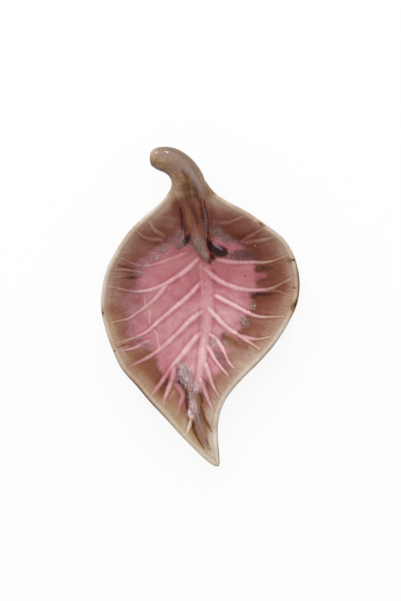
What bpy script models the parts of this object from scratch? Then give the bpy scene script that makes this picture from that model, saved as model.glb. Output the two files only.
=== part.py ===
# Leaf-shaped dish of glazed earthenware: a moulded leaf with raised veins, a rolled stem
# laid over its neck and down the inside of its wall, and a foot ring under its floor.
# Metres, +Z up. +Y runs from the tip to the stem, +X is to the right seen from above,
# and the origin lies under the middle of the whole dish, on the surface that it stands on.

import bpy
import bmesh
import numpy as np
from mathutils import Vector
from mathutils.bvhtree import BVHTree

# Sizes of the leaf
BLADE_WIDTH = 0.138  # between the middles of the two side rims
BLADE_LENGTH = 0.2054  # from the middle of the neck's edge to the middle of the tip's
FLOOR_THICKNESS = 0.005
RIM_THICKNESS = 0.0042  # the rim is rounded over the whole of it
WALL_RISE = 0.020  # from the floor to the side rims, both in the middle of the wall
WALL_SPREAD = 0.031  # across the wall in plan, where the leaf is wide enough for a flat floor
FLOOR_BEND_RADIUS = 0.007  # where the wall rises out of the floor

# Sizes of the moulded veins
VEIN_WIDTH = 0.0026
VEIN_THICKNESS = 0.0022  # of the whole rib, of which the larger share lies in the clay
MIDRIB_WIDTH = 0.0088
MIDRIB_THICKNESS = 0.0036
VEIN_SPACING = 0.006  # between the points along a rib

# Sizes of the stem
STEM_WIDTH = 0.0244  # where it is widest, over the neck
STEM_THICKNESS = 0.0166

# Sizes of the foot ring
FOOT_HEIGHT = 0.005
FOOT_WIDTH = 0.0046
FOOT_ROUNDING = 0.0006

# Sizes of the joints between the pieces
JOINT_GAP = 0.0003
WELD_DISTANCE = 0.00001

# Finishes: colour and roughness
ROSE_BROWN_GLAZE = (0.42, 0.19, 0.17), 0.18
OLIVE_BROWN_GLAZE = (0.30, 0.20, 0.12), 0.20
BARE_CLAY = (0.55, 0.42, 0.31), 0.75

# Counts of points
STATIONS = 40  # along each side of the leaf
LIP_STEPS = 5
RIB_SIDES = 8
STEM_SIDES = 18
STEM_STEPS = 2  # sections between two rows of the stem's table
FOOT_POINTS = 56

UP = np.array([0.0, 0.0, 1.0])

# The left edge of the leaf, from neck to tip: place, and the share of the midline that it faces
LEFT_RIM_SHARES = [
    (-0.052, 0.500, 0.000),
    (-0.098, 0.491, 0.012),
    (-0.125, 0.477, 0.030),
    (-0.140, 0.451, 0.060),
    (-0.194, 0.402, 0.115),
    (-0.284, 0.350, 0.175),
    (-0.359, 0.299, 0.225),
    (-0.419, 0.239, 0.270),
    (-0.470, 0.171, 0.310),
    (-0.492, 0.104, 0.345),
    (-0.497, 0.043, 0.380),
    (-0.477, -0.024, 0.415),
    (-0.439, -0.098, 0.455),
    (-0.389, -0.167, 0.500),
    (-0.318, -0.221, 0.540),
    (-0.261, -0.267, 0.575),
    (-0.179, -0.326, 0.650),
    (-0.091, -0.391, 0.750),
    (-0.009, -0.447, 0.870),
    (0.054, -0.485, 0.960),
    (0.088, -0.500, 1.000),
]

# The right edge, likewise
RIGHT_RIM_SHARES = [
    (-0.052, 0.500, 0.000),
    (-0.008, 0.493, 0.012),
    (0.011, 0.477, 0.030),
    (0.030, 0.456, 0.055),
    (0.067, 0.431, 0.090),
    (0.131, 0.406, 0.125),
    (0.240, 0.367, 0.175),
    (0.336, 0.322, 0.220),
    (0.422, 0.277, 0.255),
    (0.470, 0.224, 0.285),
    (0.498, 0.155, 0.320),
    (0.500, 0.105, 0.345),
    (0.486, 0.055, 0.370),
    (0.448, 0.000, 0.400),
    (0.389, -0.065, 0.440),
    (0.308, -0.130, 0.495),
    (0.215, -0.192, 0.565),
    (0.136, -0.254, 0.640),
    (0.095, -0.308, 0.720),
    (0.079, -0.360, 0.800),
    (0.078, -0.416, 0.890),
    (0.085, -0.473, 0.965),
    (0.088, -0.500, 1.000),
]

# The midline of the floor, from neck to tip: place, and height as a share of the wall's rise
MIDLINE_SHARES = [
    (-0.052, 0.470, 1.06),
    (-0.047, 0.425, 0.87),
    (-0.028, 0.366, 0.52),
    (-0.003, 0.293, 0.13),
    (0.018, 0.220, 0.00),
    (0.031, 0.123, 0.00),
    (0.034, 0.029, 0.00),
    (0.021, -0.062, 0.00),
    (0.000, -0.145, 0.03),
    (-0.021, -0.221, 0.17),
    (-0.023, -0.291, 0.38),
    (-0.003, -0.361, 0.62),
    (0.034, -0.427, 0.85),
    (0.067, -0.472, 1.04),
]

# How high the rim stands, as a share of the wall's rise, along the midline's share
RIM_HEIGHT_SHARES = [
    (0.00, 1.10),
    (0.10, 1.03),
    (0.25, 1.00),
    (0.40, 0.97),
    (0.55, 1.00),
    (0.75, 1.03),
    (0.90, 1.08),
    (1.00, 1.14),
]

# Where the rings of the leaf lie between the midline and the rim
INSIDE_RING_SHARES = [0.0, 0.22, 0.42, 0.53, 0.60, 0.67, 0.75, 0.84, 0.92, 1.0]
UNDERSIDE_RING_SHARES = [0.0, 0.28, 0.50, 0.60, 0.70, 0.84, 1.0]
NARROW_BEND_SHARE = 0.5  # how quickly the wall straightens where the leaf is narrow

# The veins, each from the midrib to the rim, as shares of the leaf's width and length
VEIN_SHARES = {
    "vein_left_1": [
        (-0.064, 0.237), (-0.135, 0.218), (-0.207, 0.201), (-0.285, 0.189),
        (-0.435, 0.224),
    ],
    "vein_left_1_fork": [(-0.305, 0.166), (-0.373, 0.175), (-0.450, 0.177)],
    "vein_left_2": [
        (-0.010, 0.215), (-0.062, 0.180), (-0.124, 0.151), (-0.207, 0.118),
        (-0.316, 0.100), (-0.471, 0.119),
    ],
    "vein_left_2_fork": [
        (-0.170, 0.130), (-0.238, 0.072), (-0.305, 0.036), (-0.373, 0.006),
        (-0.461, -0.008),
    ],
    "vein_left_3": [
        (0.010, 0.137), (-0.052, 0.090), (-0.116, 0.053), (-0.207, 0.001),
        (-0.290, -0.046), (-0.440, -0.081),
    ],
    "vein_left_3_fork": [(-0.265, -0.070), (-0.342, -0.096), (-0.419, -0.107)],
    "vein_left_4": [
        (0.010, 0.029), (-0.041, 0.005), (-0.119, -0.048), (-0.197, -0.095),
        (-0.280, -0.133), (-0.367, -0.161),
    ],
    "vein_left_5": [
        (0.000, -0.046), (-0.054, -0.088), (-0.109, -0.135), (-0.153, -0.169),
        (-0.202, -0.211), (-0.259, -0.256),
    ],
    "vein_left_5_fork": [(-0.130, -0.160), (-0.153, -0.220), (-0.189, -0.282)],
    "vein_left_6": [(-0.091, -0.255), (-0.106, -0.295), (-0.127, -0.340)],
    "vein_left_7": [(-0.054, -0.341), (-0.070, -0.390)],
    "vein_top_left_1": [(-0.192, 0.297), (-0.225, 0.309), (-0.251, 0.328), (-0.261, 0.344)],
    "vein_top_left_2": [(-0.202, 0.281), (-0.248, 0.281), (-0.290, 0.290), (-0.329, 0.311)],
    "vein_top_right_1": [(0.075, 0.340), (0.140, 0.340), (0.197, 0.352), (0.240, 0.365)],
    "vein_top_right_2": [(0.204, 0.283), (0.254, 0.302), (0.318, 0.328)],
    "vein_top_right_3": [(0.243, 0.272), (0.311, 0.277), (0.388, 0.291)],
    "vein_right_1": [
        (0.088, 0.211), (0.155, 0.204), (0.259, 0.203), (0.352, 0.203),
        (0.455, 0.227),
    ],
    "vein_right_2": [
        (0.026, 0.180), (0.067, 0.154), (0.124, 0.130), (0.197, 0.112),
        (0.347, 0.107), (0.476, 0.147),
    ],
    "vein_right_2_fork": [(0.340, 0.107), (0.414, 0.100), (0.466, 0.086)],
    "vein_right_3": [
        (0.080, 0.086), (0.140, 0.064), (0.207, 0.038), (0.280, 0.015),
        (0.435, 0.013),
    ],
    "vein_right_4": [
        (0.044, 0.043), (0.083, 0.013), (0.135, -0.022), (0.207, -0.055),
        (0.311, -0.100),
    ],
    "vein_right_4_fork": [(0.210, -0.056), (0.300, -0.065), (0.373, -0.055)],
    "vein_right_5": [
        (0.049, -0.048), (0.085, -0.068), (0.122, -0.107), (0.148, -0.145),
        (0.197, -0.178),
    ],
    "vein_right_6": [(0.039, -0.089), (0.070, -0.128), (0.109, -0.164), (0.153, -0.197)],
    "vein_right_7": [(0.023, -0.148), (0.044, -0.185), (0.067, -0.228), (0.101, -0.267)],
    "vein_right_8": [(0.003, -0.209), (0.021, -0.242), (0.049, -0.288), (0.067, -0.315)],
}
VEIN_END_SHARE = 0.45  # width of a vein where it fades out at the rim
VEIN_SINK_SHARE = 0.18  # how far its middle lies under the surface, of its thickness

# The midrib, from the stem's point to the tip: place and width share
MIDRIB_SHARES = [
    (0.040, 0.176, 0.60),
    (0.034, 0.140, 1.00),
    (0.036, 0.085, 0.95),
    (0.038, 0.030, 0.85),
    (0.028, -0.040, 0.66),
    (0.016, -0.110, 0.52),
    (0.000, -0.180, 0.44),
    (-0.018, -0.250, 0.42),
    (-0.016, -0.320, 0.40),
    (0.014, -0.390, 0.34),
    (0.050, -0.450, 0.26),
]
MIDRIB_SINK_SHARE = 0.22

# The stem, from its curled end to its point: place, width share, and how high its middle lies
# over what it rests on, as a share of its thickness
STEM_SHARES = [
    (-0.252, 0.566, 0.08, 0.42),
    (-0.249, 0.566, 0.30, 0.42),
    (-0.241, 0.565, 0.45, 0.42),
    (-0.224, 0.564, 0.60, 0.42),
    (-0.194, 0.561, 0.72, 0.40),
    (-0.155, 0.553, 0.80, 0.36),
    (-0.118, 0.537, 0.85, 0.31),
    (-0.085, 0.512, 0.91, 0.25),
    (-0.063, 0.481, 0.98, 0.19),
    (-0.049, 0.449, 0.95, 0.14),
    (-0.043, 0.418, 0.80, 0.10),
    (-0.035, 0.384, 0.66, 0.08),
    (-0.022, 0.342, 0.58, 0.08),
    (-0.007, 0.300, 0.55, 0.09),
    (0.011, 0.262, 0.46, 0.09),
    (0.028, 0.230, 0.32, 0.07),
    (0.044, 0.207, 0.15, 0.04),
]

# The middle of the foot ring, all the way round
FOOT_SHARES = [
    (0.020, 0.205),
    (0.112, 0.202),
    (0.188, 0.180),
    (0.230, 0.140),
    (0.232, 0.096),
    (0.200, 0.052),
    (0.150, 0.008),
    (0.090, -0.034),
    (0.026, -0.076),
    (-0.040, -0.110),
    (-0.108, -0.108),
    (-0.168, -0.068),
    (-0.214, -0.012),
    (-0.238, 0.048),
    (-0.234, 0.104),
    (-0.206, 0.154),
    (-0.152, 0.192),
    (-0.070, 0.207),
]


def slopes_at_rows(keys, rows, monotone):
    """Slope at each row, from the parabola through it and its two neighbours, or flat at a peak."""
    steps = np.diff(keys)[:, None]
    slopes = np.diff(rows, axis=0) / steps
    before, after = slopes[:-1], slopes[1:]
    inner = (before * steps[1:] + after * steps[:-1]) / (steps[:-1] + steps[1:])
    if monotone:
        lowest = np.minimum(np.abs(before), np.abs(after))
        limited = np.sign(inner) * np.minimum(np.abs(inner), 2 * lowest)
        inner = np.where(before * after > 0, limited, 0)
    return np.vstack([slopes[:1], inner, slopes[-1:]])


def smooth_values(keys, rows, wanted, monotone=False):
    """Values at the wanted keys, on a smooth curve through the rows."""
    keys = np.asarray(keys, float)
    rows = np.asarray(rows, float).reshape(len(keys), -1)
    tangents = slopes_at_rows(keys, rows, monotone)
    first = np.clip(np.searchsorted(keys, wanted, side="right") - 1, 0, len(keys) - 2)
    step = (keys[first + 1] - keys[first])[:, None]
    part = (np.asarray(wanted, float) - keys[first])[:, None] / step
    rising = part * part * (3 - 2 * part)
    start_pull = part * (1 - part) ** 2
    end_pull = part * part * (part - 1)
    ends = rows[first] * (1 - rising) + rows[first + 1] * rising
    return ends + step * (tangents[first] * start_pull + tangents[first + 1] * end_pull)


def length_keys(points):
    """How far along the line each point lies, from 0 to 1."""
    gone = np.concatenate([[0], np.cumsum(np.linalg.norm(np.diff(points, axis=0), axis=1))])
    return gone / gone[-1]


def in_plan(shares):
    """Places in plan of rows that start with shares of the leaf's width and length."""
    return np.array([row[:2] for row in shares]) * (BLADE_WIDTH, BLADE_LENGTH)


def even_stations():
    """Shares of the midline whose points on the two edges lie about evenly apart."""
    fine = np.linspace(0, 1, 20 * STATIONS + 1)
    travelled = np.zeros(len(fine))
    for shares in (LEFT_RIM_SHARES, RIGHT_RIM_SHARES):
        edge = smooth_values([row[2] for row in shares], in_plan(shares), fine)
        travelled += length_keys(edge)
    return np.interp(np.linspace(0, travelled[-1], STATIONS + 1), travelled, fine)


def round_the_leaf(left, right):
    """One closed round from two rows of stations: down the left side, and up the right one."""
    return np.concatenate([left, right[-2:0:-1]])


def leaf_frame():
    """For each point round the leaf: its rim and midline places, and both heights as shares."""
    stations = even_stations()
    midline_places = in_plan(MIDLINE_SHARES)
    keys = length_keys(midline_places)
    midline = smooth_values(keys, midline_places, stations)
    midline_heights = smooth_values(keys, [row[2] for row in MIDLINE_SHARES], stations, monotone=True)
    rim_keys, rim_rows = zip(*RIM_HEIGHT_SHARES)
    rim_heights = smooth_values(rim_keys, rim_rows, stations, monotone=True)
    left, right = (
        smooth_values([row[2] for row in shares], in_plan(shares), stations)
        for shares in (LEFT_RIM_SHARES, RIGHT_RIM_SHARES)
    )
    return (
        round_the_leaf(left, right),
        round_the_leaf(midline, midline),
        round_the_leaf(rim_heights, rim_heights)[:, 0],
        round_the_leaf(midline_heights, midline_heights)[:, 0],
    )


def unit(vectors):
    """Vectors of length 1, or straight up where there is no length."""
    lengths = np.linalg.norm(vectors, axis=1, keepdims=True)
    return np.where(lengths > 0, vectors / np.where(lengths > 0, lengths, 1), UP)


def middle_ring(frame, share):
    """The ring of the middle of the wall at a share of the way out, its normals and outward vectors."""
    rim, midline, rim_heights, midline_heights = frame
    reach = np.linalg.norm(rim - midline, axis=1)
    spread = np.minimum(reach, WALL_SPREAD)
    floor = 1 - spread / reach
    part = np.clip((share - floor) / (1 - floor), 0, 1)
    climb = WALL_RISE * (rim_heights - midline_heights)
    quick = np.maximum(spread**2 / (2 * climb * FLOOR_BEND_RADIUS) - 1, NARROW_BEND_SHARE)
    bend = (1 + quick) * part**2 / (1 + quick * part)
    bend_slope = (1 + quick) * (2 * part + quick * part**2) / (1 + quick * part) ** 2
    base = FOOT_HEIGHT + JOINT_GAP + FLOOR_THICKNESS / 2
    heights = base + WALL_RISE * midline_heights + climb * bend
    ring = np.column_stack([midline + share * (rim - midline), heights])
    across = np.column_stack([rim - midline, climb * bend_slope / (1 - floor)])
    along = np.roll(ring, -1, axis=0) - np.roll(ring, 1, axis=0)
    normals = unit(np.cross(along, across))
    normals = normals * np.where(normals[:, 2:] < 0, -1, 1)
    narrow = 1 - (spread / WALL_SPREAD)[:, None]
    normals = unit(normals * (1 - narrow) + UP * narrow)  # upright where the walls are too close to lean
    if share == 0:
        normals = unit(normals + np.roll(normals[::-1], 1, axis=0))  # both sides meet on the midline
    outward = unit(np.cross(along, normals))
    outward = outward * np.where(np.sum(outward * across, axis=1, keepdims=True) < 0, -1, 1)
    return ring, normals, outward


def leaf_rings(frame, grown, drop):
    """Rings from the midline's top, over the rim, to the midline's underside.
    Grown makes the wall thicker on all sides, and drop lowers the underside."""
    rings = []
    for share in INSIDE_RING_SHARES:
        ring, normals, _ = middle_ring(frame, share)
        thickness = FLOOR_THICKNESS + (RIM_THICKNESS - FLOOR_THICKNESS) * share
        rings.append(ring + normals * (thickness / 2 + grown))
    ring, normals, outward = middle_ring(frame, 1.0)
    for angle in np.linspace(np.pi / 2, -np.pi / 2, LIP_STEPS + 2)[1:-1]:
        reach = RIM_THICKNESS / 2 + grown
        lip = ring + reach * (np.cos(angle) * outward + np.sin(angle) * normals)
        lip[:, 2] -= drop if angle < 0 else 0
        rings.append(lip)
    for share in reversed(UNDERSIDE_RING_SHARES):
        ring, normals, _ = middle_ring(frame, share)
        thickness = FLOOR_THICKNESS + (RIM_THICKNESS - FLOOR_THICKNESS) * share
        ring = ring - normals * (thickness / 2 + grown)
        ring[:, 2] -= drop
        rings.append(ring)
    return rings


def bridged_mesh(name, rings):
    """A closed mesh of the faces between each ring and the next."""
    count = len(rings[0])
    shape = bmesh.new()
    rows = [[shape.verts.new(point) for point in ring] for ring in rings]
    for row, next_row in zip(rows, rows[1:]):
        for index in range(count):
            after = (index + 1) % count
            shape.faces.new((row[index], row[after], next_row[after], next_row[index]))
    bmesh.ops.remove_doubles(shape, verts=shape.verts, dist=WELD_DISTANCE)
    bmesh.ops.triangulate(shape, faces=shape.faces)
    bmesh.ops.recalc_face_normals(shape, faces=shape.faces)
    mesh = bpy.data.meshes.new(name)
    shape.to_mesh(mesh)
    shape.free()
    mesh.shade_smooth()
    return mesh


def surface_of(rings):
    """The inside surface of the leaf, to lay ribs and the stem on."""
    mesh = bridged_mesh("surface", rings)
    points = [vertex.co.copy() for vertex in mesh.vertices]
    faces = [tuple(face.vertices) for face in mesh.polygons]
    bpy.data.meshes.remove(mesh)
    return BVHTree.FromPolygons(points, faces)


def laid_on(surface, places):
    """Heights of the surface under the places, and past its edge the height nearest to them."""
    above = 2 * (FOOT_HEIGHT + FLOOR_THICKNESS + WALL_RISE + STEM_THICKNESS)
    heights = []
    for x, y in places:
        hit = surface.ray_cast(Vector((x, y, above)), Vector((0, 0, -1)))[0]
        heights.append(np.nan if hit is None else hit.z)
    heights = np.array(heights)
    met = np.flatnonzero(~np.isnan(heights))
    return np.interp(np.arange(len(heights)), met, heights[met])


def even_keys(shares):
    """Keys about evenly apart along a rib."""
    length = np.sum(np.linalg.norm(np.diff(in_plan(shares), axis=0), axis=1))
    return np.linspace(0, 1, max(3, round(length / VEIN_SPACING)) + 1)


def row_keys(shares, steps):
    """Keys at each row of a table, and at even steps between two rows."""
    rows = np.arange(len(shares))
    wanted = np.linspace(0, rows[-1], steps * rows[-1] + 1)
    return np.interp(wanted, rows, length_keys(in_plan(shares)))


def smooth_path(shares, wanted):
    """Places in plan at the wanted keys, on a smooth curve through the rows, and their other columns."""
    places = in_plan(shares)
    keys = length_keys(places)
    others = np.array([row[2:] for row in shares]).T
    values = [smooth_values(keys, other, wanted, monotone=True)[:, 0] for other in others]
    return smooth_values(keys, places, wanted), values


def section_curve(name, width, thickness, sides, guides):
    """A flattened round outline, that a rib or a stem has as its section."""
    angles = (np.arange(sides) + 0.5) * 2 * np.pi / sides
    data = bpy.data.curves.new(name, "CURVE")
    data.dimensions = "2D"
    outline = data.splines.new("POLY")
    outline.points.add(sides - 1)
    for point, angle in zip(outline.points, angles):
        point.co = (width / 2 * np.cos(angle), thickness / 2 * np.sin(angle), 0, 1)
    outline.use_cyclic_u = True
    section = as_helper(bpy.data.objects.new(name, data))
    guides.objects.link(section)
    return section


def rolled_mesh(name, section, points, widths, collection):
    """A closed mesh: the section carried along the points, upright, and scaled by the widths."""
    data = bpy.data.curves.new(name + "_path", "CURVE")
    data.dimensions = "3D"
    data.twist_mode = "Z_UP"
    data.bevel_mode = "OBJECT"
    data.bevel_object = section
    data.use_fill_caps = True
    line = data.splines.new("POLY")
    line.points.add(len(points) - 1)
    for point, place, width in zip(line.points, points, widths):
        point.co = (*place, 1)
        point.radius = width
    curve = bpy.data.objects.new(name + "_path", data)
    collection.objects.link(curve)
    graph = bpy.context.evaluated_depsgraph_get()
    mesh = bpy.data.meshes.new_from_object(curve.evaluated_get(graph))
    mesh.name = name
    shape = bmesh.new()
    shape.from_mesh(mesh)
    bmesh.ops.remove_doubles(shape, verts=shape.verts, dist=WELD_DISTANCE)
    bmesh.ops.triangulate(shape, faces=shape.faces)
    bmesh.ops.recalc_face_normals(shape, faces=shape.faces)
    shape.to_mesh(mesh)
    shape.free()
    mesh.shade_smooth()
    rolled = bpy.data.objects.new(name, mesh)
    rolled.matrix_world = curve.matrix_world
    collection.objects.link(rolled)
    bpy.data.objects.remove(curve)
    return rolled


def as_helper(piece):
    """Keeps a cutter or a guide out of the finished dish."""
    piece.hide_render = True
    piece.display_type = "WIRE"
    return piece


def finish(name, color, roughness):
    """A plain ceramic material."""
    material = bpy.data.materials.new(name)
    material.use_nodes = True
    shader = material.node_tree.nodes["Principled BSDF"]
    shader.inputs["Base Color"].default_value = (*color, 1)
    shader.inputs["Roughness"].default_value = roughness
    shader.inputs["Metallic"].default_value = 0
    material.diffuse_color = (*color, 1)
    return material


def add_veins(surface, relief, guides):
    """The moulded ribs: the midrib, and the veins on both sides of it."""
    section = section_curve("midrib_section", MIDRIB_WIDTH, MIDRIB_THICKNESS, RIB_SIDES, guides)
    places, (widths,) = smooth_path(MIDRIB_SHARES, even_keys(MIDRIB_SHARES))
    sink = MIDRIB_SINK_SHARE * MIDRIB_THICKNESS * widths
    points = np.column_stack([places, laid_on(surface, places) - sink])
    as_helper(rolled_mesh("midrib", section, points, widths, relief))
    section = section_curve("vein_section", VEIN_WIDTH, VEIN_THICKNESS, RIB_SIDES, guides)
    for name, shares in VEIN_SHARES.items():
        places, _ = smooth_path(shares, even_keys(shares))
        widths = np.linspace(1, VEIN_END_SHARE, len(places))
        sink = VEIN_SINK_SHARE * VEIN_THICKNESS
        points = np.column_stack([places, laid_on(surface, places) - sink])
        as_helper(rolled_mesh(name, section, points, widths, relief))


def add_leaf(frame, surface, parts, relief, guides):
    """The leaf: its shell, with the veins joined to the inside."""
    leaf = bpy.data.objects.new("leaf_dish", bridged_mesh("leaf_dish", leaf_rings(frame, 0, 0)))
    leaf.data.materials.append(finish("rose_brown_glaze", *ROSE_BROWN_GLAZE))
    parts.objects.link(leaf)
    add_veins(surface, relief, guides)
    join = leaf.modifiers.new("veins", "BOOLEAN")
    join.operation = "UNION"
    join.operand_type = "COLLECTION"
    join.collection = relief
    return leaf


def add_stem(frame, surface, parts, guides):
    """The stem: a flattened coil that tapers to a point, bedded on the leaf."""
    section = section_curve("stem_section", STEM_WIDTH, STEM_THICKNESS, STEM_SIDES, guides)
    places, (widths, lifts) = smooth_path(STEM_SHARES, row_keys(STEM_SHARES, STEM_STEPS))
    points = np.column_stack([places, laid_on(surface, places) + STEM_THICKNESS * lifts])
    stem = rolled_mesh("stem_handle", section, points, widths, parts)
    stem.data.materials.append(finish("olive_brown_glaze", *OLIVE_BROWN_GLAZE))
    bed_mesh = bridged_mesh("stem_bed", leaf_rings(frame, JOINT_GAP, STEM_THICKNESS))
    bed = bpy.data.objects.new("stem_bed", bed_mesh)
    guides.objects.link(as_helper(bed))
    cut = stem.modifiers.new("bed", "BOOLEAN")
    cut.operation = "DIFFERENCE"
    cut.object = bed
    return stem


def add_foot(parts):
    """The foot: a flat strip of clay bent round under the floor, with rounded edges."""
    places = in_plan(FOOT_SHARES)
    closed = np.vstack([places, places, places, places[:1]])
    keys = np.arange(len(closed))
    wanted = len(places) + np.arange(FOOT_POINTS) * len(places) / FOOT_POINTS
    middle = smooth_values(keys, closed, wanted)
    along = np.roll(middle, -1, axis=0) - np.roll(middle, 1, axis=0)
    along = along / np.linalg.norm(along, axis=1, keepdims=True)
    outward = np.column_stack([-along[:, 1], along[:, 0]])
    data = bpy.data.curves.new("foot_ring", "CURVE")
    data.dimensions = "2D"
    data.fill_mode = "BOTH"
    data.extrude = FOOT_HEIGHT / 2 - FOOT_ROUNDING
    data.bevel_depth = FOOT_ROUNDING
    data.bevel_resolution = 1
    data.offset = -FOOT_ROUNDING
    for side in (1, -1):
        edge = middle + side * FOOT_WIDTH / 2 * outward
        line = data.splines.new("POLY")
        line.points.add(FOOT_POINTS - 1)
        for point, place in zip(line.points, edge):
            point.co = (*place, 0, 1)
        line.use_cyclic_u = True
    foot = bpy.data.objects.new("foot_ring", data)
    foot.location = (0, 0, FOOT_HEIGHT / 2)
    data.materials.append(finish("bare_clay", *BARE_CLAY))
    parts.objects.link(foot)
    return foot


def corners_of(pieces):
    """The lowest and highest corner of the finished pieces."""
    graph = bpy.context.evaluated_depsgraph_get()
    points = []
    for piece in pieces:
        finished = piece.evaluated_get(graph)
        mesh = finished.to_mesh()
        points += [finished.matrix_world @ vertex.co for vertex in mesh.vertices]
        finished.to_mesh_clear()
    points = np.array(points)
    return points.min(axis=0), points.max(axis=0)


def new_collection(name, parent):
    collection = bpy.data.collections.new(name)
    parent.children.link(collection)
    return collection


def main():
    for old in list(bpy.data.objects):
        bpy.data.objects.remove(old)
    scene_root = bpy.context.scene.collection
    parts = new_collection("leaf_shaped_dish", scene_root)
    guides = new_collection("cutters_and_guides", scene_root)
    relief = new_collection("relief", guides)

    frame = leaf_frame()
    surface = surface_of(leaf_rings(frame, 0, 0))
    pieces = [
        add_leaf(frame, surface, parts, relief, guides),
        add_stem(frame, surface, parts, guides),
        add_foot(parts),
    ]

    # The whole dish hangs on one empty, which puts the middle of its box over the origin.
    low, high = corners_of(pieces)
    middle = bpy.data.objects.new("dish", None)
    middle.location = (-(low[0] + high[0]) / 2, -(low[1] + high[1]) / 2, 0)
    parts.objects.link(middle)
    for placed in pieces + list(relief.objects) + list(guides.objects):
        placed.parent = middle
    print(f"dish {1000 * (high - low)} mm")


main()
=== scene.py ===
# Leaf-shaped dish in glazed earthenware, seen from straight above: a moulded leaf with raised
# veins, a rolled stem laid over its neck and down into the bowl, and a foot ring under the floor.
# Tables are in millimetres, or in shares where they say so. +Y runs from the tip to the stem,
# and Z = 0 is the table.

import math
import bpy
import numpy as np
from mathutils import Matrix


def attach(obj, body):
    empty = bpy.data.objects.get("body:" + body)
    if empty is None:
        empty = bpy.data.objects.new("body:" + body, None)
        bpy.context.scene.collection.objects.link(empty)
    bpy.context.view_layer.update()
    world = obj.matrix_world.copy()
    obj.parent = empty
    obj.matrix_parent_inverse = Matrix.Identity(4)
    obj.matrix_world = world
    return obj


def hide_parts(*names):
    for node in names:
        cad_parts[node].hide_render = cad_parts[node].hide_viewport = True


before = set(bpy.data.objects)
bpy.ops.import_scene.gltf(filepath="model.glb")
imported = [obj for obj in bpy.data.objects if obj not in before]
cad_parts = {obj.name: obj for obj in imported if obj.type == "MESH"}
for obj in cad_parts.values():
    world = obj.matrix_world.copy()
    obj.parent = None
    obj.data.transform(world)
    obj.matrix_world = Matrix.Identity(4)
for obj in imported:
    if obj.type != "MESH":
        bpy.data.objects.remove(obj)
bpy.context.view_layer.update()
mm = 0.001
up = np.array([0.0, 0.0, 1.0])
farOff = 9.0  # the reach of a place that lies too far from a path to count


# Curves and fields, worked out as whole arrays

def smoothRows(keys, rows, wanted, level=False):
    # A cubic between each two rows, whose slope at a row is that of the parabola through it
    # and its neighbours. With level the slope is nought at a peak, so nothing overshoots.
    keys = np.asarray(keys, float)
    rows = np.asarray(rows, float).reshape(len(keys), -1)
    steps = np.diff(keys)[:, None]
    slopes = np.diff(rows, axis=0) / steps
    inner = (slopes[:-1] * steps[1:] + slopes[1:] * steps[:-1]) / (steps[:-1] + steps[1:])
    if level:
        lowest = np.minimum(abs(slopes[:-1]), abs(slopes[1:]))
        limited = np.sign(inner) * np.minimum(abs(inner), 2 * lowest)
        inner = np.where(slopes[:-1] * slopes[1:] > 0, limited, 0)
    tangents = np.vstack([slopes[:1], inner, slopes[-1:]])
    first = np.clip(np.searchsorted(keys, wanted, side="right") - 1, 0, len(keys) - 2)
    step = (keys[first + 1] - keys[first])[:, None]
    t = (np.asarray(wanted, float) - keys[first])[:, None] / step
    rise = t * t * (3 - 2 * t)
    ends = rows[first] * (1 - rise) + rows[first + 1] * rise
    return ends + step * (tangents[first] * t * (1 - t) ** 2 + tangents[first + 1] * t * t * (t - 1))


def lengthKeys(points):
    # Share of the line's length at each of its points.
    gone = np.concatenate([[0], np.cumsum(np.linalg.norm(np.diff(points, axis=0), axis=1))])
    return gone / gone[-1]


def pathAt(rows, wanted):
    # The smooth line through rows of x and y at the wanted shares of its length, and the rows'
    # other columns there, with no overshoot.
    rows = np.array(rows, float)
    keys = lengthKeys(rows[:, :2])
    places = smoothRows(keys, rows[:, :2], wanted)
    others = [smoothRows(keys, column, wanted, level=True) for column in rows[:, 2:].T]
    return np.hstack([places] + others)


def valueAt(keys, rows):
    # Straight lines between rows of a key and the value there.
    return np.interp(keys, *zip(*rows))


def unit(vectors):
    # Each vector over its own length, and straight up where it has none.
    lengths = np.linalg.norm(vectors, axis=-1, keepdims=True)
    return np.where(lengths > 0, vectors / np.where(lengths > 0, lengths, 1), up)


def toStretches(places, path):
    # From each place to each stretch of a path: the distance, and how far along the stretch its
    # nearest point lies, from 0 to 1.
    along = np.diff(path, axis=0)
    offset = places[:, None, :] - path[None, :-1]
    t = np.clip((offset * along).sum(axis=2) / (along**2).sum(axis=1), 0, 1)
    return np.linalg.norm(offset - t[..., None] * along, axis=2), t


def pathReach(places, path, sizes):
    # Distance from each place to the path, over the path's own size there, and the share of the
    # path that it faces: the least over the stretches of the path.
    reach = np.full(len(places), farOff)
    faced = np.zeros(len(places))
    margin = 4 * sizes.max()
    low, high = path.min(axis=0) - margin, path.max(axis=0) + margin
    near = np.flatnonzero(np.all((places > low) & (places < high), axis=1))
    gap, t = toStretches(places[near], path)
    ratio = gap / (sizes[:-1] * (1 - t) + sizes[1:] * t)
    best = ratio.argmin(axis=1)
    rows = np.arange(len(near))
    reach[near] = ratio[rows, best]
    faced[near] = (best + t[rows, best]) / (len(path) - 1)
    return reach, faced


def inOval(places, x, y, a, b, turn):
    # How far along and across a turned oval each place lies, and r r, with r 1 at the oval's
    # half sizes a and b. The turn is in degrees from the X axis.
    angle = math.radians(turn)
    dx, dy = (places - (x, y)).T
    along = dx * math.cos(angle) + dy * math.sin(angle)
    across = dy * math.cos(angle) - dx * math.sin(angle)
    return along, across, (along / a) ** 2 + (across / b) ** 2


def ovalField(places, ovals):
    # 1 in the middle of an oval, 0 on its edge and below 0 outside, times its strength: the most
    # over all ovals. A row is x, y, both half sizes, the turn and the strength.
    field = np.full(len(places), -1.0)
    for *oval, strength in ovals:
        inside = 1 - np.sqrt(inOval(places, *oval)[2])
        field = np.maximum(field, np.where(inside > 0, inside * strength, inside))
    return field


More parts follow.
